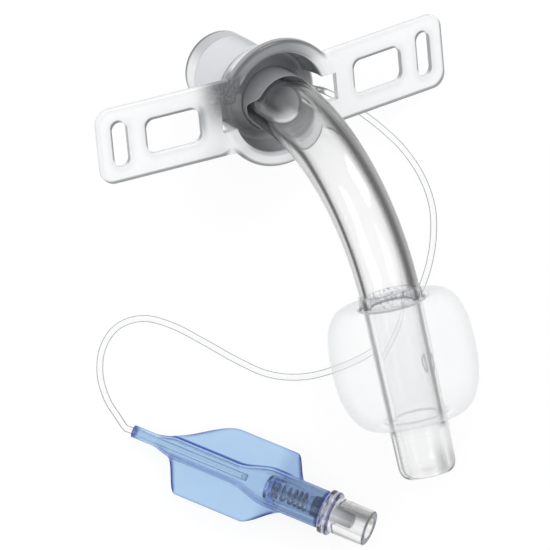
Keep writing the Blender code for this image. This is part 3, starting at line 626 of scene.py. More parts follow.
def cupProfile():
    # section of the cup: outer bowl (depth cos a, radius + (mouth - bore) sin a), lip, inner wall and floor
    size = plateValues
    mouth, lip, top = size["mouthRadius"], size["lipRadius"], size["lipProud"]
    wall, thick, floor = size["wall"], size["thick"], -size["depth"]
    share = np.radians(np.linspace(12, 78, 16))
    bowl = np.stack([
        -thick + (cupBack + thick) * np.cos(share) * 0.97,
        bore + wall + (mouth - bore) * np.sin(share), 0 * share], axis=1)
    return filleted(
        [(cupBack, bore, 0.15), (cupBack, bore + wall + 0.2, 0.5)] + [tuple(p) for p in bowl]
        + [(-thick, mouth + wall, 0.3), (-thick, lip, 0.45), (top, lip, 0.85), (top, mouth - 0.1, 1.15),
           (-thick - 0.5, mouth - 0.05, 0.4), (floor + 2.6, mouth - 0.35, 0.0),
           (floor + 0.3, mouth - 0.9, 1.3), (floor + 0.6, bore + 1.3, 1.0), (floor + 2.5, bore + 0.1, 0.15),
           (floor + 2.5, bore, 0.1)], 8)


def outline(middle, half, corner, steps=12):
    # rounded rectangle: a corner arc in each quarter, corners given for the high and low end
    quarter = np.repeat(np.arange(4), steps + 1)
    angle = math.pi / 2 * (quarter + np.tile(np.linspace(0, 1, steps + 1), 4))
    sx = np.array([1, -1, -1, 1])[quarter]
    sz = np.array([1, 1, -1, -1])[quarter]
    radius = np.where(sx > 0, corner[0], corner[1])
    return np.stack([middle + sx * (half[0] - radius) + radius * np.cos(angle),
                     sz * (half[1] - radius) + radius * np.sin(angle)], axis=1)


def wingOutlines():
    # low, high, height and corner radius of the wing, its window and its strap slot
    size = plateValues
    slotOut = size["reach"] - size["slotToEnd"]
    slotIn = slotOut - size["slotWidth"]
    windowOut = slotIn - size["windowToSlot"]
    windowIn = size["lipRadius"] + size["windowToLip"]
    return [(size["mouthRadius"] + 0.35, size["reach"], size["height"], size["corner"]),
            (windowIn, windowOut, size["windowHeight"], size["windowCorner"]),
            (slotIn, slotOut, size["slotHeight"], 0.499 * size["slotWidth"])]


def wingMesh():
    # flat plate with holes: each outline is stacked from front to back with rounded edges
    size = plateValues
    outlines = wingOutlines()
    loops = [(*outlines[0][:3], (size["corner"], size["edge"] + 0.15), 1)]
    loops += [(*hole[:3], (hole[3],) * 2, -1) for hole in outlines[1:]]
    swing = np.linspace(0.0, math.pi / 2, 5)
    inset = size["edge"] * (1 - np.sin(swing))
    drop = -size["edge"] * (1 - np.cos(swing))
    inset = np.concatenate([inset, inset[::-1]])
    depth = np.concatenate([drop, (-size["thick"] - drop)[::-1]])
    points, faces, front, back, start = [], [], [], [], 0
    for low, high, tall, corner, sign in loops:
        rings = np.stack([
            np.column_stack([np.full(52, d), outline(
                0.5 * (low + high) - size["hinge"],
                (0.5 * (high - low) - sign * i, 0.5 * tall - sign * i),
                [c - sign * i for c in corner])])
            for i, d in zip(inset, depth)])
        index = np.arange(start, start + rings.shape[0] * 52).reshape(-1, 52)
        nextRow = np.roll(index, -1, axis=1)
        faces += np.stack([index[:-1], nextRow[:-1], nextRow[1:], index[1:]], axis=-1).reshape(-1, 4).tolist()
        points.append(rings.reshape(-1, 3))
        front.append(index[0])
        back.append(index[-1])
        start += index.size
    points = np.vstack(points)
    for cap in (front, back):
        order = np.concatenate(cap)
        flat = [[Vector((*points[i][1:], 0.0)) for i in ring] for ring in cap]
        faces += [order[list(f)].tolist() for f in geometry.tessellate_polygon(flat)]
    return points, faces


def wing(side):
    # flat wing swung by its sweep about the hinge, turned over for the left one
    points, faces = wingMesh()
    turn = Euler((0.0 if side > 0 else math.pi, 0.0, side * plateValues["sweep"])).to_matrix()
    points = points @ np.array(turn).T + np.array([0.0, side * plateValues["hinge"], 0.0])
    mesh = bpy.data.meshes.new("wing")
    mesh.from_pydata(toWorld(points, "tube").tolist(), [], faces)
    return place3d("wing", outward(mesh))


def boxMesh(name, low, high):
    # eight corners, six faces
    corners = np.array([[x, y, z] for x in (low[0], high[0]) for y in (low[1], high[1])
                        for z in (low[2], high[2])])
    faces = [(0, 1, 3, 2), (4, 6, 7, 5), (0, 4, 5, 1), (2, 3, 7, 6), (0, 2, 6, 4), (1, 5, 7, 3)]
    mesh = bpy.data.meshes.new(name)
    mesh.from_pydata(toWorld(corners, "tube").tolist(), [], faces)
    return place3d(name, outward(mesh))


def fromOutline(bench, reach, z, low, high, tall, corner):
    # distance outside a rounded rectangle, with q = |p| - half + corner:
    # |max(q, 0)| + min(max(qx, qz), 0) - corner
    qx = abs(reach - 0.5 * (low + high)) - (0.5 * (high - low) - corner)
    qz = abs(z) - (0.5 * tall - corner)
    beyondX, beyondZ = qx.most(0.0), qz.most(0.0)
    return (beyondX * beyondX + beyondZ * beyondZ) ** 0.5 + qx.most(qz).least(0.0) - corner


def wingTone(bench, x, y, z, reach, tone):
    # wings: painted shade along the outline, the strap slots and the windows, so the rims look thicker
    size = plateValues
    holes = wingOutlines()
    outer, window, slot = [fromOutline(bench, reach, z, *each) for each in holes]
    hole = window.least(slot)
    # painted shade: the far edges show through the clear plate a little up and to the left of the near ones
    side = 2.0 * bench.fade(y, -0.1, 0.1) - 1.0
    farReach, farHeight = reach + size["farShift"][0] * side, z - size["farShift"][1]
    farOuter, farWindow, farSlot = [fromOutline(bench, farReach, farHeight, *each) for each in holes]
    farHole = farWindow.least(farSlot)
    rightWindow, rightSlot = [fromOutline(bench, reach - 0.45 * side, z, *each) for each in holes[1:]]
    rightHole = rightWindow.least(rightSlot)
    flat = bench.fade(reach, size["lipRadius"] - 1.6, size["lipRadius"] + 0.4)
    depth = x * math.cos(size["sweep"]) + (abs(y) - size["hinge"]) * math.sin(size["sweep"])
    front = bench.fade(depth, -size["edge"] - 0.15, -size["edge"] + 0.05)
    shadeBand = bench.fall(farHole, -0.30, 0.12) * bench.fade(hole, 0.0, 0.20)
    shadeBand = shadeBand + bench.fade(farOuter, -0.25, 0.20) * bench.fall(outer, -0.10, 0.0) * 0.85
    wall = bench.fall(hole, 0.0, 0.16) * bench.fall(rightHole, -0.40, -0.10)
    # painted shade near the holes and inside the outer edge
    soft = bench.fall(hole, 0.2, 1.8) * 0.12 + bench.fade(outer, -1.3, -0.1) * 0.10
    tone = bench.colour(soft * flat, tone, size["soft"])
    tone = bench.colour(bench.clamp(shadeBand * flat * front) * 0.9, tone, size["farEdgeShade"])
    tone = bench.colour(wall * flat * 0.75, tone, size["wallShade"])
    # painted shade: the left wing is greyer between its window and the lip, most along the window
    leftWing = bench.fall(y, -0.1, 0.1)
    windowIn = size["lipRadius"] + size["windowToLip"]
    inward = bench.fall(reach, windowIn - 0.3, windowIn + 0.5)
    besides = bench.fall(window, 0.1, 1.7) * bench.fade(z, -4.2, 1.2) * 0.62
    broad = bench.fall(reach, 12.5, 20.0) * 0.16
    return bench.colour((inward * besides + broad) * leftWing * flat, tone, size["inner"])


def lipTone(bench, place, x, y, z, radius, toShade, tone):
    # lip: painted shade towards the upper left, with a painted darker outer line and inner line
    size = plateValues
    lip = bench.between(radius, size["lipFrom"], size["lipTo"])
    shaded = bench.colour(bench.fade(toShade, -0.35, 0.7), size["lipLight"], size["lipDark"])
    shaded = bench.colour(bench.fade(radius, 11.9, 12.6) * 0.85, shaded, size["lipOuterShade"])
    shaded = bench.colour(bench.fall(radius, 10.2, 10.9) * 0.5, shaded, size["lipInnerShade"])
    clearOfWing = bench.fade(abs(z), 5.8, 8.4)
    tone = bench.colour(lip * clearOfWing * bench.fade(x, -1.9, -1.4), tone, shaded)
    # painted shade: a blotchy grey patch where the left wing meets the lip
    wingShade = bench.fade(y, -18.6, -12.2) * bench.between(z, (-3.6, 4.0), (7.4, 8.8))
    overLip = bench.fall(radius, 12.6, 13.4) * bench.between(z, (-3.4, -0.5), (4.6, 6.6))
    wingShade = wingShade.most(overLip) * bench.fall(y, -8.8, -7.0) * bench.fade(radius, 9.0, 10.0)
    grain = 0.55 + 0.45 * bench.noise(place, 0.30, 3.0) + 0.5 * bench.noise(place, 2.2, 4.0)
    return bench.colour(wingShade * grain * 0.95, tone, size["wingShade"])


def cupTone(bench, x, y, z, radius, toShade, tone):
    # inside of the cup: painted shade, darkest under the lip, paler towards the tube;
    # painted light towards the lower right
    size = plateValues
    toLight = (0.66 * y + 0.75 * z) / radius          # 1 towards the upper right of the cup
    toLower = (0.6 * y - 0.8 * z) / radius            # 1 towards the lower right
    inCup = bench.fade(0 - x, -0.25, 0.8) * bench.fall(radius, 10.05, 10.7)
    wall = bench.colour(bench.fade(toLight, -0.7, 0.9), size["wallLow"], size["wallRight"])
    wall = bench.colour(bench.fade(toShade, 0.1, 0.9), wall, size["wallLeft"])
    high = bench.colour(bench.fade(y, -1.0, 7.5), size["floorLeft"], size["floorRight"])
    floor = bench.colour(bench.fade(z, -0.5, 3.2), size["floorLow"], high)
    cupShade = bench.colour(bench.fade(0 - x, 2.0, 5.0), wall, floor)
    cupShade = bench.colour(bench.fade(toLower, 0.45, 0.95), cupShade, size["cupLit"])
    return bench.colour(inCup, tone, cupShade)


def plateFinish():
    bench = Bench("milkyPvc")
    size = plateValues
    (x, y, z), place = bench.position("tube")
    radius = (y * y + z * z) ** 0.5
    toShade = (0.80 * z - 0.60 * y) / radius          # 1 towards the upper left
    reach = (abs(y) - size["hinge"]) * math.cos(size["sweep"]) - x * math.sin(size["sweep"]) + size["hinge"]
    cloud = bench.noise(place, 0.22, 3.0)
    tone = bench.colour(cloud, size["cloudy"], size["clear"])
    tone = wingTone(bench, x, y, z, reach, tone)
    tone = lipTone(bench, place, x, y, z, radius, toShade, tone)
    tone = cupTone(bench, x, y, z, radius, toShade, tone)
    # painted shade along the outline
    tone = bench.colour(bench.fade(bench.facing(), 0.5, 0.9) * 0.6, tone, size["outline"])
    return bench.done(bench.openToLamps(bench.plastic(tone, 0.14 + 0.14 * cloud, 1.5, {
        "Transmission Weight": 0.25, "Coat Weight": 0.3,
        "Normal": bench.bump(bench.noise(place, 0.5, 3.0), 0.12, 0.0004)}), size["shadow"]))


def cupGrid():
    # the lip stands proud above and below the wings and sinks flush with them where they join
    grid = turned(cupProfile(), plateValues["sides"])
    x, y, z = grid[..., 0], grid[..., 1], grid[..., 2]
    share = np.clip((np.abs(z) - 5.6) / 3.2, 0.0, 1.0)
    flush = 1.0 - share * share * (3.0 - 2.0 * share)
    x[...] = np.where(x > 0.05, x + (0.05 - x) * flush, x)
    return grid


plate = place3d("neck_plate", skin("neck_plate", cupGrid(), "tube"))
for side in (1, -1):
    combine(plate, wing(side), "UNION")
for side in (1, -1):
    near, far = sorted((side * (bore + 1.3), side * plateValues["portReach"]))
    half = 0.5 * plateValues["portHeight"]
    port = boxMesh("port", (-plateValues["depth"] + 0.5, near, -half), (2.0, far, half))
    combine(plate, port, "DIFFERENCE")
print("neck plate", len(plate.data.polygons), "faces")

# Conical connector, with its stem inside the tube
coneValues = {
    # sizes in mm
    "endRadius": 7.55, "taper": 1 / 80, "end": -24.6, "wall": 1.4, "grip": 10.4, "stemWall": 0.9,
    "disc": 1.2, "bandLong": 4.15, "sides": 128,
    # frosted body, clearer end band with its painted shade above, step between them,
    # painted shade at the rim of the end face and along the outline
    "frostDark": (0.66, 0.68, 0.715), "frostLight": (0.76, 0.775, 0.81), "band": (0.86, 0.87, 0.88),
    "bandShade": (0.36, 0.37, 0.39), "step": (0.36, 0.37, 0.40), "rim": (0.10, 0.11, 0.125),
    "outline": (0.30, 0.31, 0.34),
    # stem inside the tube, painted shade: bore, end face and skin; painted light on the lit side of the bore
    "stemBore": (0.52, 0.535, 0.55), "stemShade": (0.10, 0.105, 0.11), "stemLit": (0.985, 0.985, 0.99),
}


def coneProfile():
    # section: cone of radius end + taper (x - end of cone), disc, stem, and back along the bore
    fit = plateValues["fit"]
    front = cupBack - fit
    rear = front - coneValues["disc"]
    base = coneValues["endRadius"] + coneValues["taper"] * (rear - coneValues["end"])
    stem = tubeValues["rootRadius"] - tubeValues["wall"] - fit
    stemFront = tubeValues["rear"] + coneValues["grip"]
    throat = stem - coneValues["stemWall"]
    end, wall = coneValues["end"], coneValues["wall"]
    return filleted([
        (end, coneValues["endRadius"], 0.4), (rear, base, 0.2), (rear, base + 1.2, 0.25),
        (front, base + 1.2, 0.25), (front, stem, 0.1), (stemFront, stem, 0.35), (stemFront, throat, 0.2),
        (front, throat, 0.8), (rear - 3.0, base - wall, 1.2), (end, coneValues["endRadius"] - wall, 0.4)], 8)


def coneFinish():
    bench = Bench("frostedPlastic")
    look = coneValues
    (x, y, z), place = bench.position("tube")
    radius = (y * y + z * z) ** 0.5
    fromEnd = x - look["end"]
    band = bench.fade(fromEnd, look["bandLong"] + 0.15, look["bandLong"] - 0.15)
    # painted shade at the outer rim near the end
    rimShade = bench.fade(fromEnd, 1.3, 0.5) * bench.fade(radius, 7.0, 7.35)
    step = bench.near(fromEnd, look["bandLong"], 0.05, 0.35)
    grain = bench.noise(place, 6.0, 4.0)
    tone = bench.colour(band, bench.colour(grain, look["frostDark"], look["frostLight"]), look["band"])
    tone = bench.colour(band * bench.fade(z, 2.5, 6.5) * 0.7, tone, look["bandShade"])
    tone = bench.colour(step * 0.35, tone, look["step"])
    tone = bench.colour(rimShade * 0.95, tone, look["rim"])
    # painted shade along the outline
    tone = bench.colour(bench.fade(bench.facing(), 0.6, 0.95) * 0.7, tone, look["outline"])
    # painted shade: stem inside the tube is dark; painted light on the far side of its bore near the mouth
    stem = bench.fade(x, cupBack - 0.6, cupBack + 0.6)
    lit = bench.fade((0.05 * y - z) / radius, 0.50, 0.92) * bench.fall(radius, 3.7, 4.25)
    lit = lit * bench.fade(x, -4.6, -0.6)
    dark = bench.colour(bench.fade(radius, 3.36, 3.5), look["stemBore"], look["stemShade"])
    tone = bench.colour(stem, tone, bench.colour(lit, dark, look["stemLit"]))
    return bench.done(bench.plastic(tone, 0.42 - 0.25 * band, 1.5, {
        "Transmission Weight": 0.2, "Normal": bench.bump(grain, 0.12, 0.0002)}))


cone = place3d("machine_cone", skin("machine_cone", turned(coneProfile(), coneValues["sides"]), "tube"))

# Cuff, filled, with a collar at each end
cuffValues = {
    # sizes in mm, and how full the bulge is towards each end
    "radius": 14.1, "middle": 63.0, "half": 13.0, "fullUp": 2.8, "fullDown": 2.2, "film": 0.16,
    "dimple": 2.0, "collarUp": 2.8, "collarDown": 3.4, "seat": 0.14, "sides": 144,
    # film colours: clear, its skin, painted shade at its outline and painted shade in its creases
    "clear": (0.995, 0.996, 0.997), "skin": (0.975, 0.98, 0.985), "rim": (0.70, 0.72, 0.74),
    "creaseShade": (0.30, 0.31, 0.33),
    # stations in mm: the film between its collars, and where the creases of the upper one end
    "plainFrom": (60.0, 61.0), "plainTo": (72.0, 73.0), "crinkleTo": (60.0, 62.0),
}
bulgeStart = cuffValues["middle"] - cuffValues["half"] + cuffValues["dimple"]
bulgeEnd = cuffValues["middle"] + cuffValues["half"] - cuffValues["dimple"]


def cuffGrid():
    # superellipse bulge along the tube, dimpled at both ends, with wavy collars; an offset wall inside
    size = cuffValues
    lean = np.radians(np.linspace(-90, 90, 81))
    bulge = np.where(lean < 0, size["fullUp"], size["fullDown"])
    out = np.abs(np.cos(lean)) ** (2 / bulge)
    out[[0, -1]] = 0.0
    along = np.sign(lean) * np.abs(np.sin(lean)) ** (2 / bulge)
    neck = tubeRadius(size["middle"]) + size["seat"] + size["film"]
    ringS = size["middle"] + along * (size["half"] - size["dimple"] * (1 - out) ** 3)
    ringR = neck + (size["radius"] - neck) * out
    up = np.linspace(ringS[0] - size["collarUp"], ringS[0] - 0.25, 12)
    down = np.linspace(ringS[-1] + 0.25, ringS[-1] + size["collarDown"], 10)
    seat = size["seat"] + size["film"]
    s = np.concatenate([up, ringS, down])
    r = np.concatenate([tubeRadius(up) + seat, ringR, tubeRadius(down) + seat])
    run = np.gradient(np.stack([s, r], axis=1), axis=0)
    run /= np.linalg.norm(run, axis=1)[:, None]
    wallS = s + size["film"] * run[:, 1]
    wallR = np.maximum(r - size["film"] * run[:, 0], tubeRadius(wallS) + size["seat"] * 0.6)
    angle = np.linspace(0.0, 2 * math.pi, size["sides"], endpoint=False)

    def wavy(s, r):
        grid = turned(np.stack([s, r], axis=1), size["sides"], onTube)
        centre, _, upward = onTube(s)
        nearUp = np.exp(-((s - up[-1] + 0.6) / 1.5) ** 2) * (r < 9.5)
        nearDown = np.exp(-((s - down[0]) / 1.6) ** 2) * (r < 9.5)
        wave = (0.16 * np.sin(9 * angle + 1.3) + 0.10 * np.sin(17 * angle + 0.4)
                + 0.08 * np.sin(29 * angle + 2.1)) * 0.5 + 0.12
        lift = (nearUp + 0.5 * nearDown)[:, None] * wave[None]
        return grid + lift[..., None] * (grid - centre[:, None]) / r[:, None, None]

    return np.vstack([wavy(s, r), wavy(wallS, wallR)[::-1]])


def filmFinish():
    bench = Bench("clearFilm")
    look = cuffValues
    _, place = bench.position("tube")
    along = bench.reading("along")
    lift = bench.reading("lift")
    # painted shade at the outline of the film
    rim = bench.fade(bench.facing(), 0.35, 1.0)
    haze = bench.noise(place, 0.10, 2.0)
    low = bench.fall(lift, 0.7, 2.2)
    collar = low * (1 - bench.between(along, look["plainFrom"], look["plainTo"]))
    # painted shade: dark ring lines where the bulge meets its collars, and dark creases in the upper collar
    rings = bench.near(along, bulgeStart, 0.10, 0.42) * 0.55 + bench.near(along, bulgeEnd, 0.10, 0.42) * 0.14
    rings = (rings + bench.near(along, bulgeStart - look["collarUp"] + 0.1, 0.05, 0.30) * 0.14) * low
    crinkleShade = bench.fade(bench.noise(place, 1.3, 5.0), 0.52, 0.66) * collar
    crinkleShade = crinkleShade * bench.fall(along, *look["crinkleTo"])
    skinShader = bench.plastic(bench.colour(rim, look["skin"], look["rim"]), 0.22, 1.45)
    cover = (0.11 + 0.09 * haze + 0.10 * rim) * (1 - 0.75 * collar)
    film = bench.shade(cover, bench.transparent(look["clear"]), skinShader)
    return bench.done(bench.shade(rings + crinkleShade * 0.30, film, bench.plastic(look["creaseShade"], 0.3)))


cuff = place3d("cuff_film", skin("cuff_film", cuffGrid(), "tube"))
keepReadings(cuff, "tube", along=lambda p: alongTube(p)[0],
             lift=lambda p: alongTube(p)[1] - tubeRadius(alongTube(p)[0]))
print("cuff", len(cuff.data.polygons), "faces")

# Pilot balloon: welded film, flat each side of a round channel
balloonValues = {
    # sizes in mm; the wings above and below the channel rise and fall over these stations
    "sleeve": 4.2, "channel": 9.0, "halfWidth": 8.6, "film": 0.4, "channelWide": 2.1, "channelHigh": 1.9,
    "flareStart": 22.0, "neckStart": 29.5, "neckEnd": 41.2, "sleeveRadius": 1.2, "neckRadius": 3.75,
    "upperRise": (6.0, 19.5), "upperFall": (31.4, 35.5), "lowerRise": (8.1, 13.2), "lowerFall": (26.8, 34.4),
    "sides": 160,
    # what the film lets through: its thin inner side, its plain blue,
    # and its welds, painted shade in its creases, and its ends
    "clear": (0.97, 0.98, 0.99), "pale": (0.675, 0.80, 0.925), "deep": (0.035, 0.085, 0.42),
    "body": (0.45, 0.62, 0.88),
    # stations in mm: the film is darker at both ends, up to the channel, along the crease
    # (painted shade there) and on the neck
    "firstEnd": (0.2, 0.9), "lastEnd": (40.4, 41.0), "openingTo": (8.5, 12.0),
    "creaseFrom": (4.4, 7.0), "creaseTo": (31.0, 33.5), "neckFrom": (28.0, 31.5),
}


def rise(x, start, end):
    # smooth step 3t^2 - 2t^3
    t = np.clip((np.asarray(x, float) - start) / (end - start), 0.0, 1.0)
    return t * t * (3.0 - 2.0 * t)


def balloonGrid():
    # each station is a flat welded wing each side of a round channel: height^2 = film^2 + channel^2
    size = balloonValues
    x = np.concatenate([np.linspace(0.0, size["sleeve"], 6)[:-1], np.linspace(size["sleeve"], 38.0, 130),
                        np.linspace(38.0, size["neckEnd"], 8)[1:]])[:, None]
    angle = np.linspace(0.0, 2 * math.pi, size["sides"], endpoint=False)[None]
    c, d = np.cos(angle), np.sin(angle)
    opening = rise(x, size["sleeve"], size["channel"])
    flare = rise(x, size["flareStart"], size["neckStart"])
    wide = size["sleeveRadius"] + (size["channelWide"] - size["sleeveRadius"]) * opening
    wide = wide + (size["neckRadius"] - size["channelWide"]) * flare
    high = size["sleeveRadius"] + (size["channelHigh"] - size["sleeveRadius"]) * opening
    high = high + (size["neckRadius"] - size["channelHigh"]) * flare
    upper = rise(x, *size["upperRise"]) * (1 - rise(x, *size["upperFall"]))
    lower = rise(x, *size["lowerRise"]) * (1 - rise(x, *size["lowerFall"]))
    half = wide + (size["halfWidth"] - wide) * np.where(c > 0, upper, lower)
    y = half * c * (1 - (1 - wide / half) * np.abs(d) ** 1.2)
    film = size["film"] * 0.85 * np.sqrt(np.maximum(1 - (y / half) ** 6, 0.0))
    channel = high * np.sqrt(np.maximum(1 - (y / wide) ** 2, 0.0))
    height = np.where(np.abs(d) > 1e-6, np.sign(d) * np.sqrt(film ** 2 + channel ** 2), 0.0)
    outerGrid = np.stack([x + 0 * y, y, height], axis=-1)
    innerGrid = np.stack([x + 0 * y, (wide - size["film"]) * c, (high - size["film"]) * d], axis=-1)
    # weld: nearness to the outline, measured across its slope; steep stretches are darker
    slope = np.abs(np.gradient(half, x[:, 0], axis=0))
    steep = rise(slope, 0.35, 1.1)
    near = np.exp(-((half - np.abs(y)) / ((0.28 + 0.20 * steep) * np.sqrt(1 + slope ** 2))) ** 2)
    weld = near * rise(half - wide, 0.2, 1.2) * (0.20 + 0.70 * steep)
    weld = np.stack([weld, 0 * weld])
    shell = np.stack([np.ones_like(y), np.zeros_like(y)])
    order = [np.vstack([pair[0], pair[1][::-1]]) for pair in (weld, shell)]
    return np.vstack([outerGrid, innerGrid[::-1]]), {"weld": order[0], "shell": order[1]}


def balloonFinish():
    bench = Bench("blueFilm")
    look = balloonValues
    edge = bench.facing()
    (x, y, z), place = bench.position("balloon")
    mottle = bench.noise(place, 0.30, 3.0)
    wide = look["sleeveRadius"] + (look["channelWide"] - look["sleeveRadius"]) * bench.fade(
        x, look["sleeve"], look["channel"])
    wide = wide + (look["neckRadius"] - look["channelWide"]) * bench.fade(
        x, look["flareStart"], look["neckStart"])
    # painted shade: crease where the wings leave the channel, navy above, faint below
    creaseShade = bench.near(abs(y), wide - 0.12, 0.16, 0.58) * bench.fade(z, -0.05, 0.1)
    creaseShade = creaseShade * (0.30 + 0.70 * bench.fade(y, -0.5, 0.5))
    creaseShade = creaseShade * bench.between(x, look["creaseFrom"], look["creaseTo"])
    tinted = (0.10 + 0.90 * bench.reading("shell")) * (0.90 + 0.20 * mottle)
    film = bench.shade(tinted, bench.transparent(look["clear"]), bench.transparent(look["pale"]))
    neck = bench.fade(x, *look["neckFrom"])
    ends = bench.fall(x, *look["firstEnd"]) + bench.fade(x, *look["lastEnd"])
    opening = bench.fall(x, *look["openingTo"])
    share = creaseShade + bench.reading("weld") + 0.14 * neck + ends * 0.6
    share = share + (0.22 + 0.25 * neck + 0.35 * opening) * bench.fade(edge, 0.45, 0.95)
    film = bench.shade(bench.clamp(share), film, bench.transparent(look["deep"]))
    film = bench.shade(0.035, film, bench.plastic(look["body"], 0.25))
    shine = bench.node("ShaderNodeBsdfAnisotropic", None, {"Color": (1.0, 1.0, 1.0), "Roughness": 0.10})
    fresnel = bench.node("ShaderNodeFresnel", None, {"IOR": 1.42})
    return bench.done(bench.shade(fresnel * 0.5, film, shine))


grid, readings = balloonGrid()
balloon = place3d("balloon_film", skin("balloon_film", grid, "balloon"))
for label, values in readings.items():
    layer = balloon.data.attributes.new(label, "FLOAT", "POINT")
    layer.data.foreach_set("value", values.reshape(-1).astype(np.float32))
print("pilot balloon", len(balloon.data.polygons), "faces")

# Check valve: clear body, plunger, seal and spring
valveValues = {
    # sizes in mm
    "innerEnd": 29.0, "noseLength": 2.2, "noseRadius": 2.6, "noseWall": 0.9, "radius": 3.05,
    "collarStart": 41.5, "collarEnd": 43.5, "collarRadius": 4.4, "luerEnd": 50.9, "luerRadius": 3.5,
    "bore": 2.15, "taper": 0.03, "chamber": 2.25, "seat": 40.6, "stemRadius": 1.5, "stemEnd": 47.4,
    "sealRadius": 2.0, "sealThick": 1.5, "tailRadius": 0.65, "travel": 1.5, "sides": 96, "stemSides": 72,
    "wire": 0.25, "turns": 7, "coilRadius": 1.25, "coilSpread": 0.4, "coilPacking": 0.045, "coilGap": 0.43,
    # clear moulding: painted shade stripes by how far the surface turns from the viewer; then its
    # coloured parts and the painted shade of its end face
    "upper": [(0.0, 0.95), (0.05, 0.80), (0.12, 0.38), (0.22, 0.30), (0.34, 0.55), (0.50, 0.85),
              (0.70, 0.55), (1.0, 0.80)],
    "lower": [(0.0, 0.95), (0.40, 0.92), (0.56, 0.60), (0.68, 0.50), (0.85, 0.75), (1.0, 0.88)],
    "plain": [(0.0, 0.95), (0.45, 0.92), (0.60, 0.66), (0.80, 0.72), (1.0, 0.85)],
    "cloud": (0.70, 0.72, 0.76), "endFaceShade": (0.13, 0.14, 0.16), "arcs": (0.07, 0.09, 0.40),
    "nose": (0.25, 0.30, 0.72), "shadow": (0.88, 0.88, 0.90),
    # stations in mm: the blue nose, and the start and end of each dark arc on the collar
    "noseTo": (31.0, 31.6), "arcEnds": [((41.0, 41.5), (41.6, 42.0)), ((42.9, 43.2), (43.4, 43.7))],
    # plunger: where it darkens, in mm, its two ends and its mottle; rubber seal; spring wire
    "darkens": (42.0, 47.0), "stemPale": (0.62, 0.63, 0.65), "stemGrey": (0.20, 0.21, 0.225),
    "stemMottle": (0.45, 0.46, 0.48),
    "rubber": ((0.015, 0.015, 0.018), (0.03, 0.03, 0.034)),
    "steel": ((0.16, 0.125, 0.085), (0.34, 0.28, 0.20)),
}


def valveProfile():
    # section from the nose's hole over the outside to the mouth, and back along bore, seat and chamber
    size = valveValues
    tail = size["tailRadius"] + 0.35
    noseIn = size["innerEnd"] + size["noseWall"]
    noseEnd = size["innerEnd"] + size["noseLength"]
    noseBore = size["noseRadius"] - 0.65
    middle = 0.5 * (size["collarStart"] + size["collarEnd"])
    groove = size["collarRadius"] - 0.3
    mouth = size["bore"]
    seatBore = mouth - size["taper"] * (size["luerEnd"] - size["seat"])
    return filleted([
        (size["innerEnd"], tail, 0.1), (size["innerEnd"], size["noseRadius"], 0.4),
        (noseEnd, size["noseRadius"], 0.1), (noseEnd + 0.4, size["radius"], 0.2),
        (size["collarStart"], size["radius"], 0.1), (size["collarStart"], size["collarRadius"], 0.4),
        (middle - 0.25, size["collarRadius"], 0.1), (middle, groove, 0.15),
        (middle + 0.25, size["collarRadius"], 0.1), (size["collarEnd"], size["collarRadius"], 0.4),
        (size["collarEnd"], size["luerRadius"] + 0.12, 0.2), (size["luerEnd"], size["luerRadius"], 0.25),
        (size["luerEnd"], mouth, 0.2), (size["seat"], seatBore, 0.05), (size["seat"], size["chamber"], 0.2),
        (noseEnd + 1.4, size["chamber"], 0.1), (noseEnd + 1.0, noseBore, 0.1), (noseIn, noseBore, 0.2),
        (noseIn, tail, 0.1)], 6)


def valveFinish():
    bench = Bench("clearMoulding")
    look = valveValues
    (x, y, z), place = bench.position("balloon")
    edge = bench.facing()
    radius = (y * y + z * z) ** 0.5
    # painted shade: the mouth has a grey stripe on one side; the other side stays light to its rim
    upper, lower, plain = [bench.ramp(edge, look[name]) for name in ("upper", "lower", "plain")]
    mouth = bench.colour(bench.fade(y, -0.6, 0.6), lower, upper)
    cloud = bench.noise(place, 0.8)
    tone = bench.colour(bench.fade(x, look["collarEnd"], look["collarEnd"] + 0.5), plain, mouth)
    tone = bench.colour(cloud * 0.12, tone, look["cloud"])
    # painted shade on the end face round the bore
    endFaceShade = bench.fade(x, look["luerEnd"] - 0.35, look["luerEnd"] - 0.1) * bench.fade(radius, 2.0, 2.25)
    tone = bench.colour(endFaceShade, tone, look["endFaceShade"])
    rear, front = [bench.between(x, *ends) for ends in look["arcEnds"]]
    arcs = (rear + front) * bench.fade(radius, 3.2, 3.7)
    tone = bench.colour(arcs * 0.85, tone, look["arcs"])
    tone = bench.colour(bench.fall(x, *look["noseTo"]) * 0.45, tone, look["nose"])
    shader = bench.plastic(tone, 0.03 + 0.03 * cloud, 1.49, {"Transmission Weight": 1.0})
    return bench.done(bench.openToLamps(shader, look["shadow"]))


def plungerFinish():
    # pale moulding that darkens towards the pushed end
    bench = Bench("plungerPlastic")
    look = valveValues
    (x, y, z), place = bench.position("balloon")
    cloud = bench.noise(place, 1.6, 3.0)
    tone = bench.colour(bench.fade(x, *look["darkens"]), look["stemPale"], look["stemGrey"])
    tone = bench.colour(cloud * 0.25, tone, look["stemMottle"])
    return bench.done(bench.plastic(tone, 0.30 + 0.1 * cloud))


def rubberFinish():
    bench = Bench("blackRubber")
    _, place = bench.position("balloon")
    cloud = bench.noise(place, 1.6, 3.0)
    return bench.done(bench.plastic(bench.colour(cloud, *valveValues["rubber"]), 0.5 + 0.1 * cloud))


def springFinish():
    bench = Bench("springWire")
    _, place = bench.position("balloon")
    cloud = bench.noise(place, 2.5, 3.0)
    return bench.done(bench.plastic(bench.colour(cloud, *valveValues["steel"]), 0.30 + 0.2 * cloud, 1.5,
                                    {"Metallic": 0.6}))


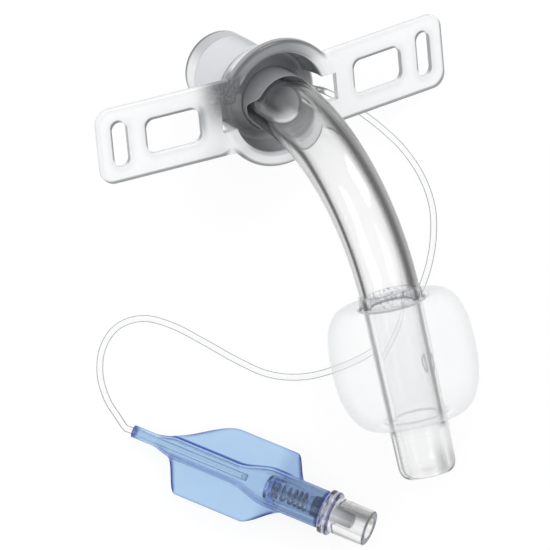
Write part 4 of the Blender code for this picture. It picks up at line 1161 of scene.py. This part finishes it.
valve = place3d("valve_shell", skin("valve_shell", turned(denser(valveProfile(), 1.5), valveValues["sides"]),
                                    "balloon"))
size = valveValues
sealFront = size["seat"] - 0.1
sealRear = sealFront - size["sealThick"]
rimRear = sealRear - 0.8
rimRadius = size["sealRadius"] - 0.25
tailEnd = size["innerEnd"] + size["noseWall"] + 0.5
grooveRadius = 0.72 * size["stemRadius"]
# plunger: tail, rim behind the seal, groove that holds it, stem
stemLine = filleted([
    (tailEnd, 0.02, 0.0), (tailEnd, size["tailRadius"], 0.2), (rimRear, size["tailRadius"], 0.1),
    (rimRear, rimRadius, 0.15), (sealRear - 0.05, rimRadius, 0.1), (sealRear - 0.05, grooveRadius, 0.05),
    (sealFront - 0.2, grooveRadius, 0.05), (sealFront - 0.2, size["stemRadius"], 0.1),
    (size["stemEnd"], size["stemRadius"], 0.35), (size["stemEnd"], 0.02, 0.0)], 6)
stem = place3d("plunger_stem", skin("plunger_stem", turned(stemLine, size["stemSides"]), "balloon",
                                    closeRows=False, capped=True))
sealHole, sealMouth = grooveRadius + 0.1, size["stemRadius"] + 0.1
sealLine = filleted([
    (sealRear, sealHole, 0.05), (sealRear, size["sealRadius"], 0.2), (sealFront, size["sealRadius"], 0.2),
    (sealFront, sealMouth, 0.05), (sealFront - 0.3, sealMouth, 0.03), (sealFront - 0.3, sealHole, 0.05)], 6)
seal = place3d("seal_disc", skin("seal_disc", turned(sealLine, size["stemSides"]), "balloon"))
turn = np.linspace(0.0, 1.0, 24 * size["turns"] + 1)


def crowd(t):
    # tanh step at the wide gap between the two groups of coils
    return np.tanh((t - size["coilGap"]) / 0.05)


# even pitch plus a step at the gap, less the straight line that keeps both ends in place
pitch = turn + size["coilPacking"] * (crowd(turn) - crowd(0.0) - (crowd(1.0) - crowd(0.0)) * turn)
springFrom = size["innerEnd"] + size["noseWall"] + 0.28
springTo = rimRear - 0.28
coilAngle = 2 * math.pi * size["turns"] * turn
coilRadius = size["coilRadius"] + size["coilSpread"] * turn
coil = np.stack([springFrom + (springTo - springFrom) * pitch, coilRadius * np.cos(coilAngle),
                 coilRadius * np.sin(coilAngle)], axis=1)
spring = place3d("return_spring", skin("return_spring", along3d(coil, size["wire"], 12, square=True),
                                       "balloon", closeRows=False, capped=True))
print("valve", len(valve.data.polygons), "faces")

# The body each piece rides on, and the node it stands for
dress(tube, tubeFinish(), "tube_set", "cannula", 40)
dress(plate, plateFinish(), "tube_set", "neck_flange", 32)
dress(cone, coneFinish(), "tube_set", "machine_connector", 40)
dress(cuff, filmFinish(), "tube_set", "cuff", 60)
dress(line, clearLine(), "tube_set", "inflation_line", 60)
dress(balloon, balloonFinish(), "tube_set", "pilot_balloon", 50)
dress(valve, valveFinish(), "tube_set", "valve_body", 40)
dress(stem, plungerFinish(), "plunger_set", "valve_plunger", 40)
dress(seal, rubberFinish(), "plunger_set", "valve_seal", 40)
dress(spring, springFinish(), "tube_set", "valve_spring", 60)
# the spring would shorten by the plunger's travel, towards its end in the nose;
# the share of its length left is worked out here but not applied
springLong = springTo - springFrom + 2 * size["wire"]
1.0 - size["travel"] / springLong
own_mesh(spring)

# Studio: pale floor, plain world light and two soft lamps
studio = {
    # floor size and how far it lies under the piece, in metres, then its colour and how white it shows
    "floorHalf": 3.0, "floorDrop": 0.0002, "floorDiffuse": (0.92, 0.92, 0.92), "showWhite": 0.86,
    # light from the horizon and from above, and the height at which it is full
    "worldLow": 0.87, "worldHigh": 1.0, "worldFull": 0.8,
}


def seenDirectly(bench):
    # 1 for rays from the camera, from reflections and from clear plastic
    path = bench.node("ShaderNodeLightPath")
    names = ("Is Camera Ray", "Is Glossy Ray", "Is Transmission Ray")
    straight, mirrored, through = [Signal(bench, path.socket.node.outputs[n]) for n in names]
    return bench.node("ShaderNodeClamp", None, {"Value": straight + mirrored + through})


floorBench = Bench("paleFloor")
matte = floorBench.node("ShaderNodeBsdfDiffuse", None, {"Color": studio["floorDiffuse"]})
glow = floorBench.node("ShaderNodeEmission", None, {"Color": (1.0, 1.0, 1.0), "Strength": 1.0})
floorFinish = floorBench.done(floorBench.shade(seenDirectly(floorBench) * studio["showWhite"], matte, glow))
half = studio["floorHalf"]
floorMesh = bpy.data.meshes.new("studioFloor")
floorMesh.from_pydata([(-half, -half, 0), (half, -half, 0), (half, half, 0), (-half, half, 0)], [],
                      [(0, 1, 2, 3)])
floorMesh.materials.append(floorFinish)
floor = place3d("studioFloor", floorMesh)
floor.location = (0.0, 0.0, -studio["floorDrop"])

world = bpy.data.worlds.new("studioWorld")
world.use_nodes = True
bpy.context.scene.world = world
skyBench = Bench("studioWorld", world.node_tree, "ShaderNodeOutputWorld")
heading = skyBench.node("ShaderNodeTexCoord", None, None, 0)
split = skyBench.node("ShaderNodeSeparateXYZ", None, {0: heading})
height = Signal(skyBench, split.socket.node.outputs[2])
sky = studio["worldLow"] + (studio["worldHigh"] - studio["worldLow"]) * skyBench.fade(
    height, 0.0, studio["worldFull"])
path = skyBench.node("ShaderNodeLightPath", None, None, 0)
level = sky + (1.0 - sky) * path
background = skyBench.node("ShaderNodeBackground", None, {"Color": (1.0, 1.0, 1.0), "Strength": level})
skyBench.done(background)

lamps = {
    "key": {"at": (0.35, 0.30, 0.60), "size": 0.30, "power": 1.3},
    "fill": {"at": (-0.45, -0.25, 0.50), "size": 0.40, "power": 0.8},
}
for name, lamp in lamps.items():
    data = bpy.data.lights.new(name, "AREA")
    data.shape = "SQUARE"
    data.size = lamp["size"]
    data.energy = lamp["power"]
    made = bpy.data.objects.new(name, data)
    bpy.context.scene.collection.objects.link(made)
    made.location = lamp["at"]
    made.rotation_euler = (-Vector(lamp["at"])).to_track_quat("-Z", "Y").to_euler()
bpy.context.scene.view_settings.view_transform = "Standard"
print("studio set")
